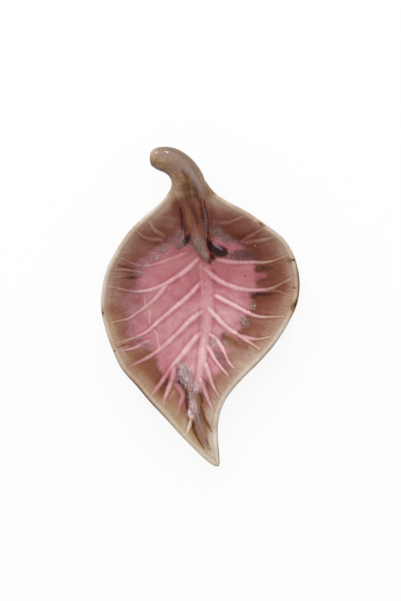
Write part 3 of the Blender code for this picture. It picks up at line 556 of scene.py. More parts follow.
glazePlaces = {
    # the edge of the pink glaze, once round
    "pink": [
        (-11.6, 52), (-15.9, 55.5), (-18.1, 49.1), (-23.1, 45.5), (-28.8, 42.7), (-33.5, 38.2),
        (-38, 35), (-43.8, 32), (-43.8, 22.7), (-44.5, 14.1), (-48.8, 7.7), (-50.9, 2.7), (-51.1, -5.9),
        (-49.6, -13), (-51, -18), (-48, -23), (-44.5, -26.8), (-38.1, -27.3), (-33.8, -32.3),
        (-30.2, -38), (-30.3, -42.5), (-26.2, -48), (-20.2, -53), (-15.9, -50.2), (-12.3, -46.6),
        (-5.9, -55.2), (-0.9, -58.7), (4.1, -52.3), (11.2, -48), (16, -42.2), (18.8, -37.5),
        (18.4, -34), (20.2, -30.2), (15.4, -26), (13.6, -20.5), (16.5, -17.6), (26, -22), (27.8, -16.6),
        (30, -9.5), (31.5, -6.5), (35.4, -4.4), (35.5, 0.5), (35, 6), (36, 9.4), (39.1, 11), (47, 12.3),
        (44, 13.6), (39.8, 13.9), (39.2, 18.9), (47, 21.3), (47.2, 22.9), (39.6, 24), (39.2, 30.6),
        (33, 32.6), (30.5, 35), (31.5, 40), (26.9, 45.5), (21.2, 47.7), (14.8, 50.5), (9.1, 48.4),
        (11, 44), (12.6, 38), (10.3, 33.6), (7, 31.6), (4, 34), (-0.2, 40.5), (-5.9, 42.7),
        (-9.5, 47.7),
    ],
    # dark pools: x, y, both half sizes, the turn and the strength
    "pools": [
        (13.9, 40.1, 7, 4.6, -20, 1.15), (7, 43.7, 4.6, 2.6, -75, 1.3),
        (-10.4, 47.4, 5.8, 2.4, 50, 1.4), (44.8, 27.4, 6.5, 2.4, 5, 0.28),
        (44.1, 9.4, 8.4, 1.8, -3, 0.3), (37.4, 8.4, 3, 3, 10, 0.12), (8.8, 35.6, 3.4, 2.4, 60, 0.7),
        (13.8, -35.2, 3.4, 7.6, 25, 0.44), (-16, -46.5, 2, 7, 15, 0.35),
        (-24.6, -54.9, 2.2, 6, -35, 0.2), (-55.2, -27.7, 4.6, 1, 15, 0.4),
        (-46.6, -25.5, 6.4, 1, 22, 0.25), (-53, 28.5, 7.5, 1.4, -12, 0.35), (-50, 20.8, 8, 1.4, 4, 0.4),
        (29.1, -27.6, 5.7, 2.4, -20, 0.06),
    ],
    # as pools, with the first half size along the threads, and how light the patch is
    "crawls": [
        (-10.7, -48.7, 12, 6.2, -68, 1, 0.74), (-3.2, -57.2, 5.4, 4.2, -60, 0.8, 0.84),
        (-1.9, 45, 8.4, 5.8, -60, 0.9, 0.49), (2.2, 38.2, 6.4, 3.3, -58, 0.8, 0.48),
        (12.5, 53.5, 7.6, 4.6, -38, 0.5, 0.44), (18.5, 48.5, 6, 4.2, -48, 0.8, 0.4),
        (29.4, 36.9, 11, 5.2, -4, 1, 0), (31.8, -10.8, 4.8, 3.8, -52, 1, 0.36),
        (9.3, -25.6, 5, 2.8, 70, 0.6, 0.72), (18, -25.9, 3.4, 2.8, -40, 0.6, 0.5),
        (-25.9, 41.2, 5.2, 3.8, 35, 0.9, 0.5), (-32.3, 35.1, 4.6, 2.8, 35, 0.5, 0.62),
        (-39.8, 30.5, 6.4, 3, 25, 0.4, 0.62), (-14.8, 44.5, 5.6, 3.2, 50, 0.9, 0.34),
        (-15.5, 51, 5, 4, 80, 0.7, 0.38), (-20, 46, 5, 3, 40, 0.3, 0.4),
        (-49.5, -10.9, 3.6, 2.1, 80, 0.5, 0.6), (-46.5, -1.5, 6, 2, 35, 0.35, 0.48),
        (-48.6, -17.5, 4.5, 2.2, 60, 0.4, 0.54), (-45.5, 9, 5.5, 1.8, 5, 0.32, 0.46),
        (-43.5, 24, 4.5, 2.2, 20, 0.4, 0.58), (-36.6, -28.8, 4.6, 2.7, 10, 0.5, 0.54),
        (36.9, 0.5, 3.6, 2.9, 0, 0.4, 0.55), (-6.8, -64.5, 6, 2.4, -88, 0.6, 0.52),
        (-4.8, -72, 7, 3, -86, 0.6, 0.95), (13.6, -35.6, 7.5, 3.2, -58, 0.7, 0.4),
        # (-6.9, -76.8), lighter than the other patches, is partly a painted highlight on the bead there
        (-6.9, -76.8, 3.8, 2.6, -80, 1, 1.15), (-44.5, -22.5, 6, 1.6, 20, 0.5, 0.5),
    ],
    # runs of glaze: x, y and half width
    "purple": [
        [(1.2, 79.8, 0.4), (2.6, 74.1, 0.8), (3.9, 67.7, 1.3), (4.6, 60.5, 1.9), (4.8, 54.1, 1.8),
         (4.6, 47.7, 1)],
        [(-14.8, 71.4, 0.3), (-13.8, 66, 1.4), (-12.7, 60.5, 1.9), (-11.9, 54.8, 1.9),
         (-10.5, 49.8, 1.2)],
        [(-7.3, 45.5, 0.86), (-10.2, 46.9, 1.71), (-13.4, 43.4, 1.43), (-15.9, 41.2, 0.57)],
        [(4.8, 48.4, 1.07), (6.2, 44.6, 1.7), (9.1, 41, 2.2), (13.4, 38.8, 2.4), (17.7, 38, 1.8),
         (19.8, 39.1, 0.71)],
        [(4.8, 36.2, 0.86), (6.6, 32, 1), (8.4, 29.8, 0.43)],
    ],
    "lavender": [
        [(1.4, 76.5, 0.3), (2.6, 71.2, 0.6), (3.5, 66.2, 1), (4, 59.8, 1.7), (4.3, 54.1, 1.3),
         (4.3, 49.1, 0.5)],
        [(-12.6, 63.5, 0.2), (-11.8, 59.5, 0.35), (-12, 55, 0.3), (-12.3, 51.5, 0.9), (-14.5, 45.5, 1)],
        [(8.6, 46.6, 0.6), (11.2, 44.2, 1.4), (13.8, 42.4, 1.2), (16.2, 40.8, 0.6)],
        [(-7.3, -58, 0.6), (-6.9, -66, 0.9), (-6.6, -73, 0.7)],
        [(-3.1, -72.5, 0.4), (-1.6, -77.3, 0.6), (-1, -86, 0.4)],
        [(0.8, -78, 0.4), (1.5, -84.2, 0.5), (2.2, -90.3, 0.4)],
    ],
    # lavender-grey mottling of the glaze along the stem's crest, partly a painted sheen where the crest
    # faces the light
    "sheenAndMottle": [
        [(-31.5, 109, 3), (-20.2, 107.7, 7.5), (-12.8, 103, 8.5), (-7.6, 97.4, 4.8), (-3, 89.8, 3.6),
         (0.6, 83, 2)],
    ],
    # dark brown runs down the neck
    "runs": [
        [(-12.2, 97, 1.2), (-9.8, 92, 3.4), (-9.6, 86.5, 5), (-9.6, 80.5, 4.4), (-8.6, 75, 3.4),
         (-5.2, 69.5, 2), (-3, 64.5, 1.6), (-2, 59, 0.8)],
        [(-5.5, 90.5, 0.8), (-4, 85, 2.6), (-2.2, 79.5, 2.2), (0.2, 74, 1.5), (0.9, 66, 1.1),
         (1.6, 61, 0.4)],
    ],
    # painted grey shade along both sides of the stem's bend, where its round surface turns away: the
    # upper right flank and the lower left underside
    "stemSideShade": [
        [(-26, 113.2, 0.5), (-21, 111.9, 1.4), (-14, 108.7, 2), (-8, 104.3, 2.8), (-4.9, 98.8, 2.6),
         (-2, 93.3, 2), (1, 88, 0.6)],
        [(-35.2, 104, 0.3), (-32.6, 100.4, 1.4), (-28, 97.3, 2.2), (-23.4, 95, 2.4), (-21.2, 90.5, 1.6),
         (-21.8, 85.5, 0.6)],
    ],
    # down the tip: a mauve haze, and dark lines at both sides of it
    "haze": [
        [(-5.2, -59.4, 2.8), (-4.5, -66.6, 3.6), (-3.2, -73.7, 4), (-1.6, -80.9, 4.4), (0.4, -88, 3.6),
         (3.4, -95.2, 2.4), (5.8, -101.5, 1.4)],
    ],
    "tipRuns": [
        [(-16.2, -45.5, 0.6), (-15.6, -50.5, 1.6), (-14.4, -55, 1.8), (-12.4, -58.5, 1.7),
         (-10.6, -62.3, 2), (-9.8, -67.3, 1.8), (-9.4, -72, 1), (-9, -75, 0.4)],
        [(-6.2, -78, 0.3), (-5.4, -82.5, 1), (-4.4, -88, 1.2), (-2.5, -92.5, 0.9), (-0.2, -96.6, 0.7),
         (3, -101.5, 0.4)],
        [(0.2, -58.5, 0.5), (0.8, -62, 1.6), (1.3, -66, 1.3), (1.3, -69, 0.7)],
        [(0.2, -71, 0.6), (1.4, -75.5, 1.3), (3, -79.5, 1.3), (4.6, -82.5, 1.1), (6.2, -85.5, 0.9),
         (8.2, -89.5, 0.4)],
        [(-0.8, -76.5, 0.4), (0.6, -79.5, 1.1), (1.8, -83, 0.7)],
        [(4, -93.5, 0.4), (5.4, -97.4, 0.9), (6.9, -101, 0.9), (8, -104.5, 0.4)],
        [(2.7, -47.5, 0.5), (3.5, -52.3, 1.4), (4.8, -57.3, 1.2), (6, -60.6, 0.4)],
    ],
    # milky lines that the pink glaze left as it crept; the last two, down the middle towards the tip,
    # are painted highlights
    "milkAndHighlight": [
        [(-40.2, 8.5, 0.4), (-39.8, 4.5, 0.9), (-39.5, -0.5, 0.4)],
        [(-36.6, -2, 0.4), (-36.2, -5.5, 1.5), (-36.6, -9, 1.2), (-36.4, -12.5, 0.5)],
        [(-33.5, -16.5, 0.7), (-31.2, -20, 1.4), (-30.6, -25, 0.9), (-29, -31, 1.6)],
        [(0.5, -40, 0.5), (3.4, -45, 1), (4.8, -50, 0.7)],
        [(-0.8, -48.5, 0.4), (-0.2, -53, 1.2), (0.3, -57, 0.6)],
    ],
    # soft ovals, as pools but ending in an amount: where the pink turns paler
    "veil": [
        (-36, -1.5, 7, 8, -20, 0.5), (-22, 32.5, 14, 4, 20, 0.28), (22, 32.5, 13, 3, 0, 0.25),
        (-31.6, 12, 6, 5, 0, 0.3), (4, -47, 4, 7, 0, 0.5), (18.4, -34.5, 4, 3, 0, 0.2),
        (3, 27, 5, 6, 0, 0.2), (19.1, -16.6, 4, 3, 0, 0.3), (-6.5, 29.5, 6, 4, -50, 0.3),
        (31, 13, 8, 3, 0, 0.35), (-48.8, -2.3, 4, 4, 0, 0.4), (28.4, -15.2, 4, 3, 0, 0.35),
        (11.2, -28.8, 3, 4, 0, 0.35), (-25.9, -28, 4, 4, 0, 0.3),
    ],
    # soft ovals where the brown glaze lies thicker or thinner than the wall's own depth; three of them
    # also paint a highlight, as noted below
    "depth": [
        (61.2, 14.1, 3, 4, 0, 0.12), (19.8, -43.8, 4, 3, 0, 0.11), (45.5, -8, 4, 3, 0, -0.1),
        (-18.8, -60.9, 2.5, 4, 0, -0.13), (52.7, 15.5, 4, 3, 0, -0.1), (15.5, -45.9, 4, 3, 0, -0.12),
        (22.7, -30.2, 4, 3, 0, -0.12), (-25.9, -66.6, 3, 3, 0, -0.1), (36.2, 4.5, 3, 3, 0, -0.12),
        (6.2, -79.5, 3, 5, 0, -0.22), (4.4, -65.2, 2.4, 4.5, 0, -0.28), (11.8, -84, 2.5, 9, 0, 0.22),
        (-8.8, 63.4, 3, 6, 0, -0.13), (41, 39, 6, 4, -40, 0.13), (-39, 42, 5, 4, 40, -0.13),
        (38, -8, 4, 3, 0, -0.1), (20.5, 71.2, 5, 3, -35, -0.12), (-57.3, 21.2, 4, 4, 0, -0.08),
        (44.5, 48, 5, 3, -40, -0.1), (-67, 8.4, 3, 8, 0, -0.13), (-70.5, -3.8, 3, 5, 0, 0.24),
        (-64.4, -26.8, 3, 5, 25, 0.36), (47.7, 32.7, 5, 2.4, 8, -0.14),
        (-20.9, -61.6, 2.5, 4, 0, -0.12), (-54.5, -10.9, 4, 4, 0, -0.12), (-11.6, -74.5, 3, 5, 0, 0.13),
        (26.2, 49.8, 6, 4, -20, 0.13), (9.8, -70.2, 3, 4, 0, -0.1), (9.8, -113, 3, 4, 0, 0.12),
        (10.5, -86, 2.5, 4, 0, 0.13), (-55.9, -38.8, 3, 4, 0, -0.12), (-56.6, 14.8, 4, 4, 0, 0.08),
        (70, 18.5, 3, 5, 0, 0.14), (-46, -55.5, 3, 5, 38, 0.16), (43.4, 21.2, 5, 2.5, 0, 0.14),
        (14.8, -37.3, 4, 4, 0, 0.12), (36.2, 9.1, 4, 3, 0, 0.1), (-15.5, -55, 3, 8, 20, 0.14),
        (-28, -54, 4, 5, -35, 0.12), (8.6, 64.8, 2.6, 7, 8, 0.14), (-20.2, 59.1, 4, 5, 0, -0.13),
        (-46, 24.8, 4, 4, 0, 0.12), (-28.8, -62.3, 3.5, 4, 0, 0.11), (40.5, 51.2, 6, 4, -35, 0.12),
        (-53, -25.2, 4, 4, 0, -0.17), (-42, -30.5, 5, 4, -30, -0.1), (-27.3, -68, 3, 3, 0, -0.1),
        # (8.8, -95.2) and (9.8, -93) widen the pale band on the tip's right rim and take it below depth
        # 0, where it turns paler than the glaze as a painted highlight; (-33, 110.2) is a painted
        # highlight on the top of the stem's curled end
        (30, -24.5, 5, 4, -20, -0.1), (-9.8, -87, 3, 9, 5, -0.26), (8.8, -95.2, 3, 6, 0, -0.58),
        (-33, 110.2, 4, 3, 20, -0.34), (40, -14, 8, 7, -20, -0.05), (-30, 53, 10, 8, 0, -0.06),
        (-18, 73, 3, 5, 0, 0.22), (-61, -2.3, 6, 4, 0, 0.14), (25, -42, 8, 10, 0, -0.12),
        (-55, 4, 6, 8, 0, -0.1), (-50, 15, 4, 4, 0, -0.08), (-43, 50, 22, 9, 42, -0.06),
        (-31, 67, 13, 6, 38, -0.22), (-48, 44, 7, 7, 0, -0.1), (-23, 61, 6, 5, 0, -0.05),
        (-61, 15.5, 8, 24, 0, -0.22), (-56, 37, 8, 8, 0, -0.1), (-51, 12, 4, 5, 0, 0.1),
        (-60, -10, 9, 12, 0, -0.08), (-54, -34.5, 12, 6, -52, -0.16), (9, 75, 9, 7, -30, -0.3),
        (30, 57, 20, 6, -33, -0.1), (45, 48, 10, 8, -40, -0.12), (60, 32, 8, 10, 0, -0.08),
        (34, 49, 5, 3, -30, 0.1), (52, 22, 8, 14, 0, 0.08), (44, 8, 10, 3, 0, 0.12),
        (60, 12, 5, 4, 0, 0.06), (62, 8, 6, 14, 0, -0.2), (53, -12, 10, 14, -30, -0.12),
        (56.5, -21, 4, 10, -37, -0.14), (32, -34, 14, 14, 45, -0.2), (12, -60, 8, 16, 0, -0.15),
        (-16, -75, 10, 12, -45, -0.2), (5, -76, 4, 5, 0, -0.16), (9.8, -93, 3.6, 24, 2, -0.41),
        (8.4, -101, 3, 10, 5, -0.16), (5.5, -106, 5, 7, 40, -0.26), (57.5, 39.5, 5, 7, 30, -0.2),
        (66, 26, 3.5, 9, 0, -0.14), (66.8, -1, 4, 5, 0, 0.4), (-37.5, -57.5, 4.5, 12, 38, -0.18),
        (-28, -66, 4, 7, 38, 0.06), (-33, -38, 8, 6, -45, -0.07), (-4.6, 68, 3, 7, 10, 0.08),
        (-63, -20, 5, 12, 20, -0.14), (38, -38, 4.5, 14, -48, -0.11), (-22.5, 81.5, 6.5, 10, 0, -0.27),
        (8, 83, 5, 7, -45, 0.1), (0, 87, 3, 8, 20, -0.14), (-4, 52, 6, 7, 0, -0.1),
    ],
    # soft ovals where the brown turns to gold, and where the two glazes ran into each other
    "golden": [
        (-7.5, 70, 6, 14, 10, 0.45), (-45, -41, 26, 10, -50, 0.65), (-62, -9, 8, 12, 0, 0.5),
        (-17, -82, 22, 8, -57, 0.6), (-13, -57, 10, 5, -60, 0.9), (46, 27.5, 9, 4, 0, 0.6),
        (46, 9, 9, 6, 0, 0.45), (21, -22.5, 10, 4.5, -35, 0.75), (50, -24, 14, 5, 47, 0.35),
        (2, -64, 9, 14, 0, 0.5), (-24.6, -55, 6, 7, -35, 0.6), (6, -88, 8, 24, 8, 0.7),
        (-3, -90, 5, 14, 15, 0.6), (66, 2, 6, 8, 0, 0.8),
    ],
    "mixing": [
        (-42, -30, 6, 5, 0, 0.4), (22.7, -30.2, 4, 4, 0, 0.3), (36, 4.5, 4, 4, 0, 0.4),
        (8, -61, 4, 6, 0, 0.5), (44.5, -6.5, 6, 4, 0, 0.4), (-17, -58, 6, 9, 0, 0.8),
        (5.5, -72, 6, 14, 0, 0.8), (20, -42, 12, 8, 40, 0.5), (-56.5, 4, 9, 9, 0, 0.6),
        (-51, 18, 10, 20, 0, 0.75), (-47, -20, 12, 12, 0, 0.8), (-36, 38, 16, 7, 38, 0.6),
        (22, 46, 12, 6, -20, 0.4), (-14, 48, 6, 8, 0, 0.6), (4, -56, 10, 8, 0, 0.5),
        (34, -28, 14, 10, 45, 0.5),
    ],
    # soft ovals where the rim's outer edge is darker
    "rimShade": [
        (-37, -58, 28, 9, -53, 1.4), (69, 14, 26, 7, 90, 1), (30, 64, 26, 8, -33, 0.4),
        (-52, 52, 16, 8, 48, 0.35), (13, -103, 4, 14, 0, 0.9), (44, -38, 30, 8, 47, 0.55),
    ],
    # the same as depth for the pink glaze on the floor
    "pinkDepth": [
        (-22, 35, 22, 7, 22, 0.12), (14, 35, 20, 9, 0, 0.16), (-4, 22, 26, 8, 25, 0.06),
        (20, -8, 14, 8, -30, -0.16), (-8, -10, 14, 10, 35, -0.03), (-18, -28, 14, 8, 45, -0.08),
        (-40, 20, 5, 8, 0, -0.04), (-18, 5, 6, 4, 30, 0.08), (11.9, -11.6, 4, 4, 0, 0.08),
        (13.5, 2, 5, 4, -30, 0.17), (24.1, 9.8, 6, 3, -20, 0.06), (-3.1, -11.6, 4, 3, 40, 0.13),
        (-3.8, -25.9, 4, 3, 40, 0.14), (6.9, -38, 4, 5, 0, 0.13), (14.8, -38, 4, 5, 0, 0.1),
        (-22, -46.5, 4, 4, 0, 0.1), (2.7, 27.7, 5, 4, 0, -0.1), (-46, 24.8, 4, 4, 0, 0.12),
        (29, 2.6, 5, 3, -30, -0.22), (-6, -47.5, 2.5, 3, 0, -0.16), (-7.3, 7, 4, 4, 30, 0.13),
        (1.9, -5.9, 3, 4, 30, 0.12), (7.7, -15.9, 3, 3, 0, -0.13), (15.5, 14.8, 4, 3, 0, 0.12),
        (-3.1, -0.9, 4, 3, 40, -0.13), (26.9, -12.3, 3, 3, 0, 0.22), (-20.8, -48.3, 4, 3.5, 0, 0.18),
        (-45.2, 2.7, 4, 4, 0, 0.12), (-8.1, 38.4, 5, 3, 30, 0.14), (-2.3, 26.2, 5, 4, 0, 0.08),
        (43.4, 21.2, 5, 2.5, 0, 0.2), (-5.9, -43.8, 4, 3, 0, -0.16), (-19.5, 39.1, 5, 3, 30, 0.1),
        (14.8, -20.2, 3, 3, 0, -0.14), (-17.3, -41.6, 3, 3, 0, -0.14), (-0.9, -48.8, 3, 4, 0, 0.12),
        (-40.9, 5.5, 4, 4, 0, 0.08), (34, 19, 6, 5, 0, 0.08), (20, 26, 20, 6, 0, 0.06),
        (-26, -20, 8, 20, -40, -0.1), (14, -12, 20, 26, 0, -0.14), (-4, -30, 14, 12, 0, -0.08),
        (9, -40, 12, 12, 0, -0.18),
    ],
    # ovals as pools: chips and brown spots on the rim, a pinhole, and painted glints
    "chips": [
        (66.6, 33.4, 1.6, 1.3, 0, 1), (64.1, 33, 2.6, 2.2, 0, 0.6), (66.5, 0.6, 2, 4.8, -25, 0.62),
        (-70.2, -3.8, 2, 4.5, 0, 0.25), (67, 13.4, 1.6, 1.2, 0, 0.6), (68.6, 2.4, 2.2, 5.6, -22, 0.9),
        (69.4, 3.6, 1.1, 2.4, 0, 0.9), (-69.5, -4.5, 1.1, 1.2, 0, 1), (-61.2, -31.6, 1.1, 1, 0, 0.9),
        (43.5, 58.8, 4.5, 1.6, -35, 0.6),
    ],
    "pinholes": [(32.3, 22.1, 0.75, 0.75, 0, 1)],
    # painted glints: small pale highlights on the tip and floor
    "paintedGlints": [
        (39.4, 43.9, 0.6, 0.6, 0, 1), (-12, -2, 0.6, 0.6, 0, 1), (3.9, -42.8, 0.9, 1.7, 20, 0.8),
        (0.2, -52, 0.8, 1.5, 0, 0.7), (-7.6, -75.5, 0.9, 1.8, 12, 0.9), (-5.9, -78.8, 1, 0.9, 0, 0.9),
        (-5.2, -70, 0.7, 1.4, 0, 0.6), (39.1, 0.8, 1.1, 0.6, -20, 0.8), (-26.4, 40.6, 1, 0.6, 40, 0.6),
    ],
}

# The glaze's depth, and the stem's part in it: rows of a place and the value there
glazeDepth = {
    # by the distance from the rim's crest
    "wall": [(0, 0.03), (1.5, 0.12), (3.2, 0.3), (6.5, 0.44), (11, 0.58), (20, 0.64)],
    # by y: the depth on the stem, how far out that reaches over its half width, and how olive
    "stem": [(36, 0.55), (48, 0.62), (70, 0.58), (84, 0.48)],
    "spill": [(72, 1), (86, 2.2)],
    "olive": [(71, 0), (84, 1)],
    "thinBand": 8.0,  # nearer to the rim, the ovals of depth count less
    "thinLean": (0.6, -1.0),  # it is broader towards the lower right
    "thinSpan": 60.0,
    "thinGrowth": 0.55,
    "spillEdge": 2.5,  # 1 over the share of the stem's half width in which its glaze ends
    "stemFlow": (1.2, 1.4, 30.0),  # its streaks' scales across and along, and their own layer
    "stemCover": 6.0,  # how far the pink's edge is set back on the stem
    "pinkReach": 12.0,  # the most that a place's distance to that edge counts
    "besidePink": 0.14,  # how much deeper the pink is beside the midrib
}

# What makes a field of each of the glaze's places
fieldKinds = {
    softField: ["golden", "mixing", "rimShade", "veil"],
    ovalField: ["pools", "chips", "pinholes", "paintedGlints"],
    strokeField: ["purple", "lavender", "sheenAndMottle", "stemSideShade", "runs", "haze", "tipRuns", "milkAndHighlight"],
}


def glazeFields(places, rimReach, flow):
    # What the glaze's material reads, at each place. The thin band along the rim is broader
    # towards the lower right.
    _, veinReach, veinPale, veinPink, ribPale, beside = veinFields(places)
    x, y = places.T
    leanX, leanY = glazeDepth["thinLean"]
    lower = np.clip((x * leanX + y * leanY) / glazeDepth["thinSpan"], -0.4, 1)
    band = 1.0 + glazeDepth["thinGrowth"] * lower
    across, along, reach, _ = stemFrame(places)
    spill = valueAt(y, glazeDepth["spill"])
    onStem = np.clip((spill - reach) * glazeDepth["spillEdge"], 0, 1)
    rimDepth = valueAt(rimReach / band, glazeDepth["wall"])
    rimReach = rimReach + onStem * glazeDepth["thinBand"]
    depth = rimDepth * (1 - onStem) + onStem * valueAt(y, glazeDepth["stem"])
    inner = np.clip(rimReach / band / glazeDepth["thinBand"], 0.5, 1)
    stemFlow = np.column_stack([across, along, np.ones(len(x))]) * glazeDepth["stemFlow"]
    pinkEdge = outlineField(places, glazePlaces["pink"]) - onStem * glazeDepth["stemCover"]
    pinkReach = glazeDepth["pinkReach"]
    besidePink = beside * glazeDepth["besidePink"]
    fields = {
        "rimReach": rimReach,
        "flow": np.where(onStem[:, None] > 0.5, stemFlow, flow),
        "depth": depth + softField(places, glazePlaces["depth"]) * inner,
        "pinkDepth": softField(places, glazePlaces["pinkDepth"]) + besidePink,
        "pinkEdge": np.clip(pinkEdge, -pinkReach, pinkReach),
        "olive": onStem * valueAt(y, glazeDepth["olive"]),
        "veinReach": np.where(onStem > 0.5, farOff, veinReach),
        "veinPale": veinPale,
        "veinPink": veinPink,
        "ribPale": ribPale * (1 - onStem),
        "crawls": ovalField(places, [row[:6] for row in glazePlaces["crawls"]]),
        "threads": threadPlaces(places, glazePlaces["crawls"]),
    }
    for makeField, names in fieldKinds.items():
        for name in names:
            fields[name] = makeField(places, glazePlaces[name])
    return fields


# Shader maths

def paint(red, green, blue):
    # a screen colour from 0 to 255 as the linear colour that a shader takes
    shares = [value / 255 for value in (red, green, blue)]
    return tuple(s / 12.92 if s < 0.04045 else ((s + 0.055) / 1.055) ** 2.4 for s in shares) + (1.0,)


class Wire:
    # A socket in a material. + - * on wires and numbers add Math nodes, and node adds any other
    # node: its type, its settings, then the values or links of its sockets.
    def __init__(self, socket):
        self.socket = socket

    def node(self, kind, settings=None, values=None, output=0):
        tree = self.socket.id_data
        made = tree.nodes.new("ShaderNode" + kind)
        for name, value in (settings or {}).items():
            setattr(made, name, value)
        for name, value in (values or {}).items():
            if isinstance(value, Wire):
                tree.links.new(value.socket, made.inputs[name])
            else:
                made.inputs[name].default_value = value
        return Wire(made.outputs[output])

    def math(self, operation, first, second=0.0):
        return self.node("Math", {"operation": operation}, {0: first, 1: second})

    def __add__(self, other):
        return self.math("ADD", self, other)

    def __sub__(self, other):
        return self.math("SUBTRACT", self, other)

    def __mul__(self, other):
        return self.math("MULTIPLY", self, other)

    def __rsub__(self, other):
        return self.math("SUBTRACT", other, self)

    __radd__ = __add__
    __rmul__ = __mul__

    def most(self, other):
        return self.math("MAXIMUM", self, other)

    def size(self):
        return self.math("ABSOLUTE", self)

    def between(self, low, high):
        # 0 below low and 1 above high, with a smooth rise; low may be the larger
        return self.node("MapRange", {"interpolation_type": "SMOOTHSTEP"}, {0: self, 1: low, 2: high})

    def rise(self, low, high):
        # 0 below low and 1 above high, in a straight line
        return self.node("MapRange", {}, {0: self, 1: low, 2: high})

    def scaled(self, x, y, z):
        return self.node("VectorMath", {"operation": "MULTIPLY"}, {0: self, 1: (x, y, z)})

    def noise(self, scale, detail=3.0, roughness=0.55, distortion=0.0):
        # about -1 to 1
        made = self.node("TexNoise", {}, {
            "Vector": self, "Scale": scale, "Detail": detail, "Roughness": roughness,
            "Distortion": distortion,
        })
        return (made - 0.5) * 2

    def over(self, under, color):
        # color where this wire is 1, under where it is 0
        return self.node("Mix", {"data_type": "RGBA"}, {0: self, 6: under, 7: color}, 2)

    def ramp(self, stops):
        # straight from colour to colour, by rows of this wire's value and the screen colour there
        colour = paint(*stops[0][1])
        for (low, _), (high, shade) in zip(stops, stops[1:]):
            colour = self.rise(low, high).over(colour, paint(*shade))
        return colour

    def bump(self, strength, distance):
        # the normal of a surface that is this wire times the distance high, in metres
        return self.node("Bump", {}, {"Strength": strength, "Distance": distance, "Height": self})

    def field(self, name, output=2):
        # a piece's own field: a number, or a vector with output 1
        return self.node("Attribute", {"attribute_name": name}, {}, output)

    def place(self):
        # where on the object, in millimetres
        return self.node("TexCoord", {}, {}, 3).scaled(1000, 1000, 1000)

    def height(self):
        # the third number of a vector
        return self.node("SeparateXYZ", {}, {0: self}, 2)


def newMaterial(name):
    # A material, its shader, and a wire that its first nodes come from.
    material = bpy.data.materials.new(name)
    material.use_nodes = True
    shader = material.node_tree.nodes["Principled BSDF"]
    return material, shader, Wire(shader.inputs["Base Color"])


def finishMaterial(shader, links, values):
    # Links what changes over the surface, and sets what is the same all over it.
    tree = shader.id_data
    for name, wire in links.items():
        tree.links.new(wire.socket, shader.inputs[name])
    for name, value in values.items():
        shader.inputs[name].default_value = value


# The ramps are rows of the glaze's depth, or of lightness, and the screen colour there
glazeColours = {
    # the stops below depth 0 are paler than the thinnest glaze: a painted highlight, as on the tip's
    # right rim
    "brownRamp": [
        (-0.3, (230, 218, 205)), (0, (208, 194, 178)), (0.2, (184, 156, 136)), (0.38, (160, 118, 97)),
        (0.55, (138, 80, 62)), (0.75, (108, 48, 32)), (1, (66, 19, 12)), (1.25, (36, 3, 3)),
    ],
    "goldRamp": [
        (-0.3, (228, 214, 196)), (0, (206, 192, 172)), (0.2, (188, 164, 134)), (0.38, (164, 124, 90)),
        (0.55, (142, 92, 58)), (0.75, (108, 62, 28)), (1, (60, 34, 14)), (1.25, (26, 12, 6)),
    ],
    "pinkRamp": [
        (0.05, (232, 194, 193)), (0.32, (209, 152, 159)), (0.52, (187, 116, 124)),
        (0.72, (166, 90, 96)), (0.95, (118, 46, 52)), (1.25, (38, 2, 3)),
    ],
    "oliveRamp": [
        (0.1, (180, 156, 128)), (0.45, (150, 116, 86)), (0.8, (118, 78, 50)), (1.1, (84, 48, 28)),
    ],
    "crawlRamp": [
        (0, (84, 50, 46)), (0.25, (130, 92, 86)), (0.5, (156, 126, 121)), (0.75, (182, 158, 160)),
        (1, (220, 200, 202)),
    ],
    "mauve": paint(160, 104, 110),
    "seam": paint(166, 136, 144),
    "crease": paint(92, 50, 54),
    "haze": paint(160, 129, 127),
    # milky glaze lines, and painted highlights near the tip
    "milkAndHighlight": paint(230, 184, 186),
    "veil": paint(202, 164, 160),
    # lavender-grey glaze mottling, partly painted sheen, on the stem's crest
    "sheenAndMottle": paint(149, 131, 131),
    "threadLine": paint(84, 54, 56),
    "lavender": paint(156, 126, 136),
    # painted shade on the stem's sides
    "stemSideShade": paint(118, 104, 92),
    # painted shade where the lip and the stem's sides turn away
    "turnedEdgeShade": paint(104, 84, 70),
    "chipBrown": paint(128, 82, 44),
    "chip": paint(34, 24, 16),
    "pinhole": paint(40, 20, 20),
    # painted glints
    "paintedGlint": paint(232, 214, 206),
    "wallTan": paint(150, 104, 86),
    "wallBrown": paint(116, 66, 50),
    "wallRed": paint(142, 84, 76),
    "rimTan": paint(172, 140, 116),
    # painted shade on the lip's outer edge
    "outerLipShade": paint(96, 82, 74),
    "drops": paint(84, 44, 24),
    "clay": paint(206, 182, 156),
    "clayStain": paint(180, 150, 122),
    "grit": paint(120, 92, 70),
}


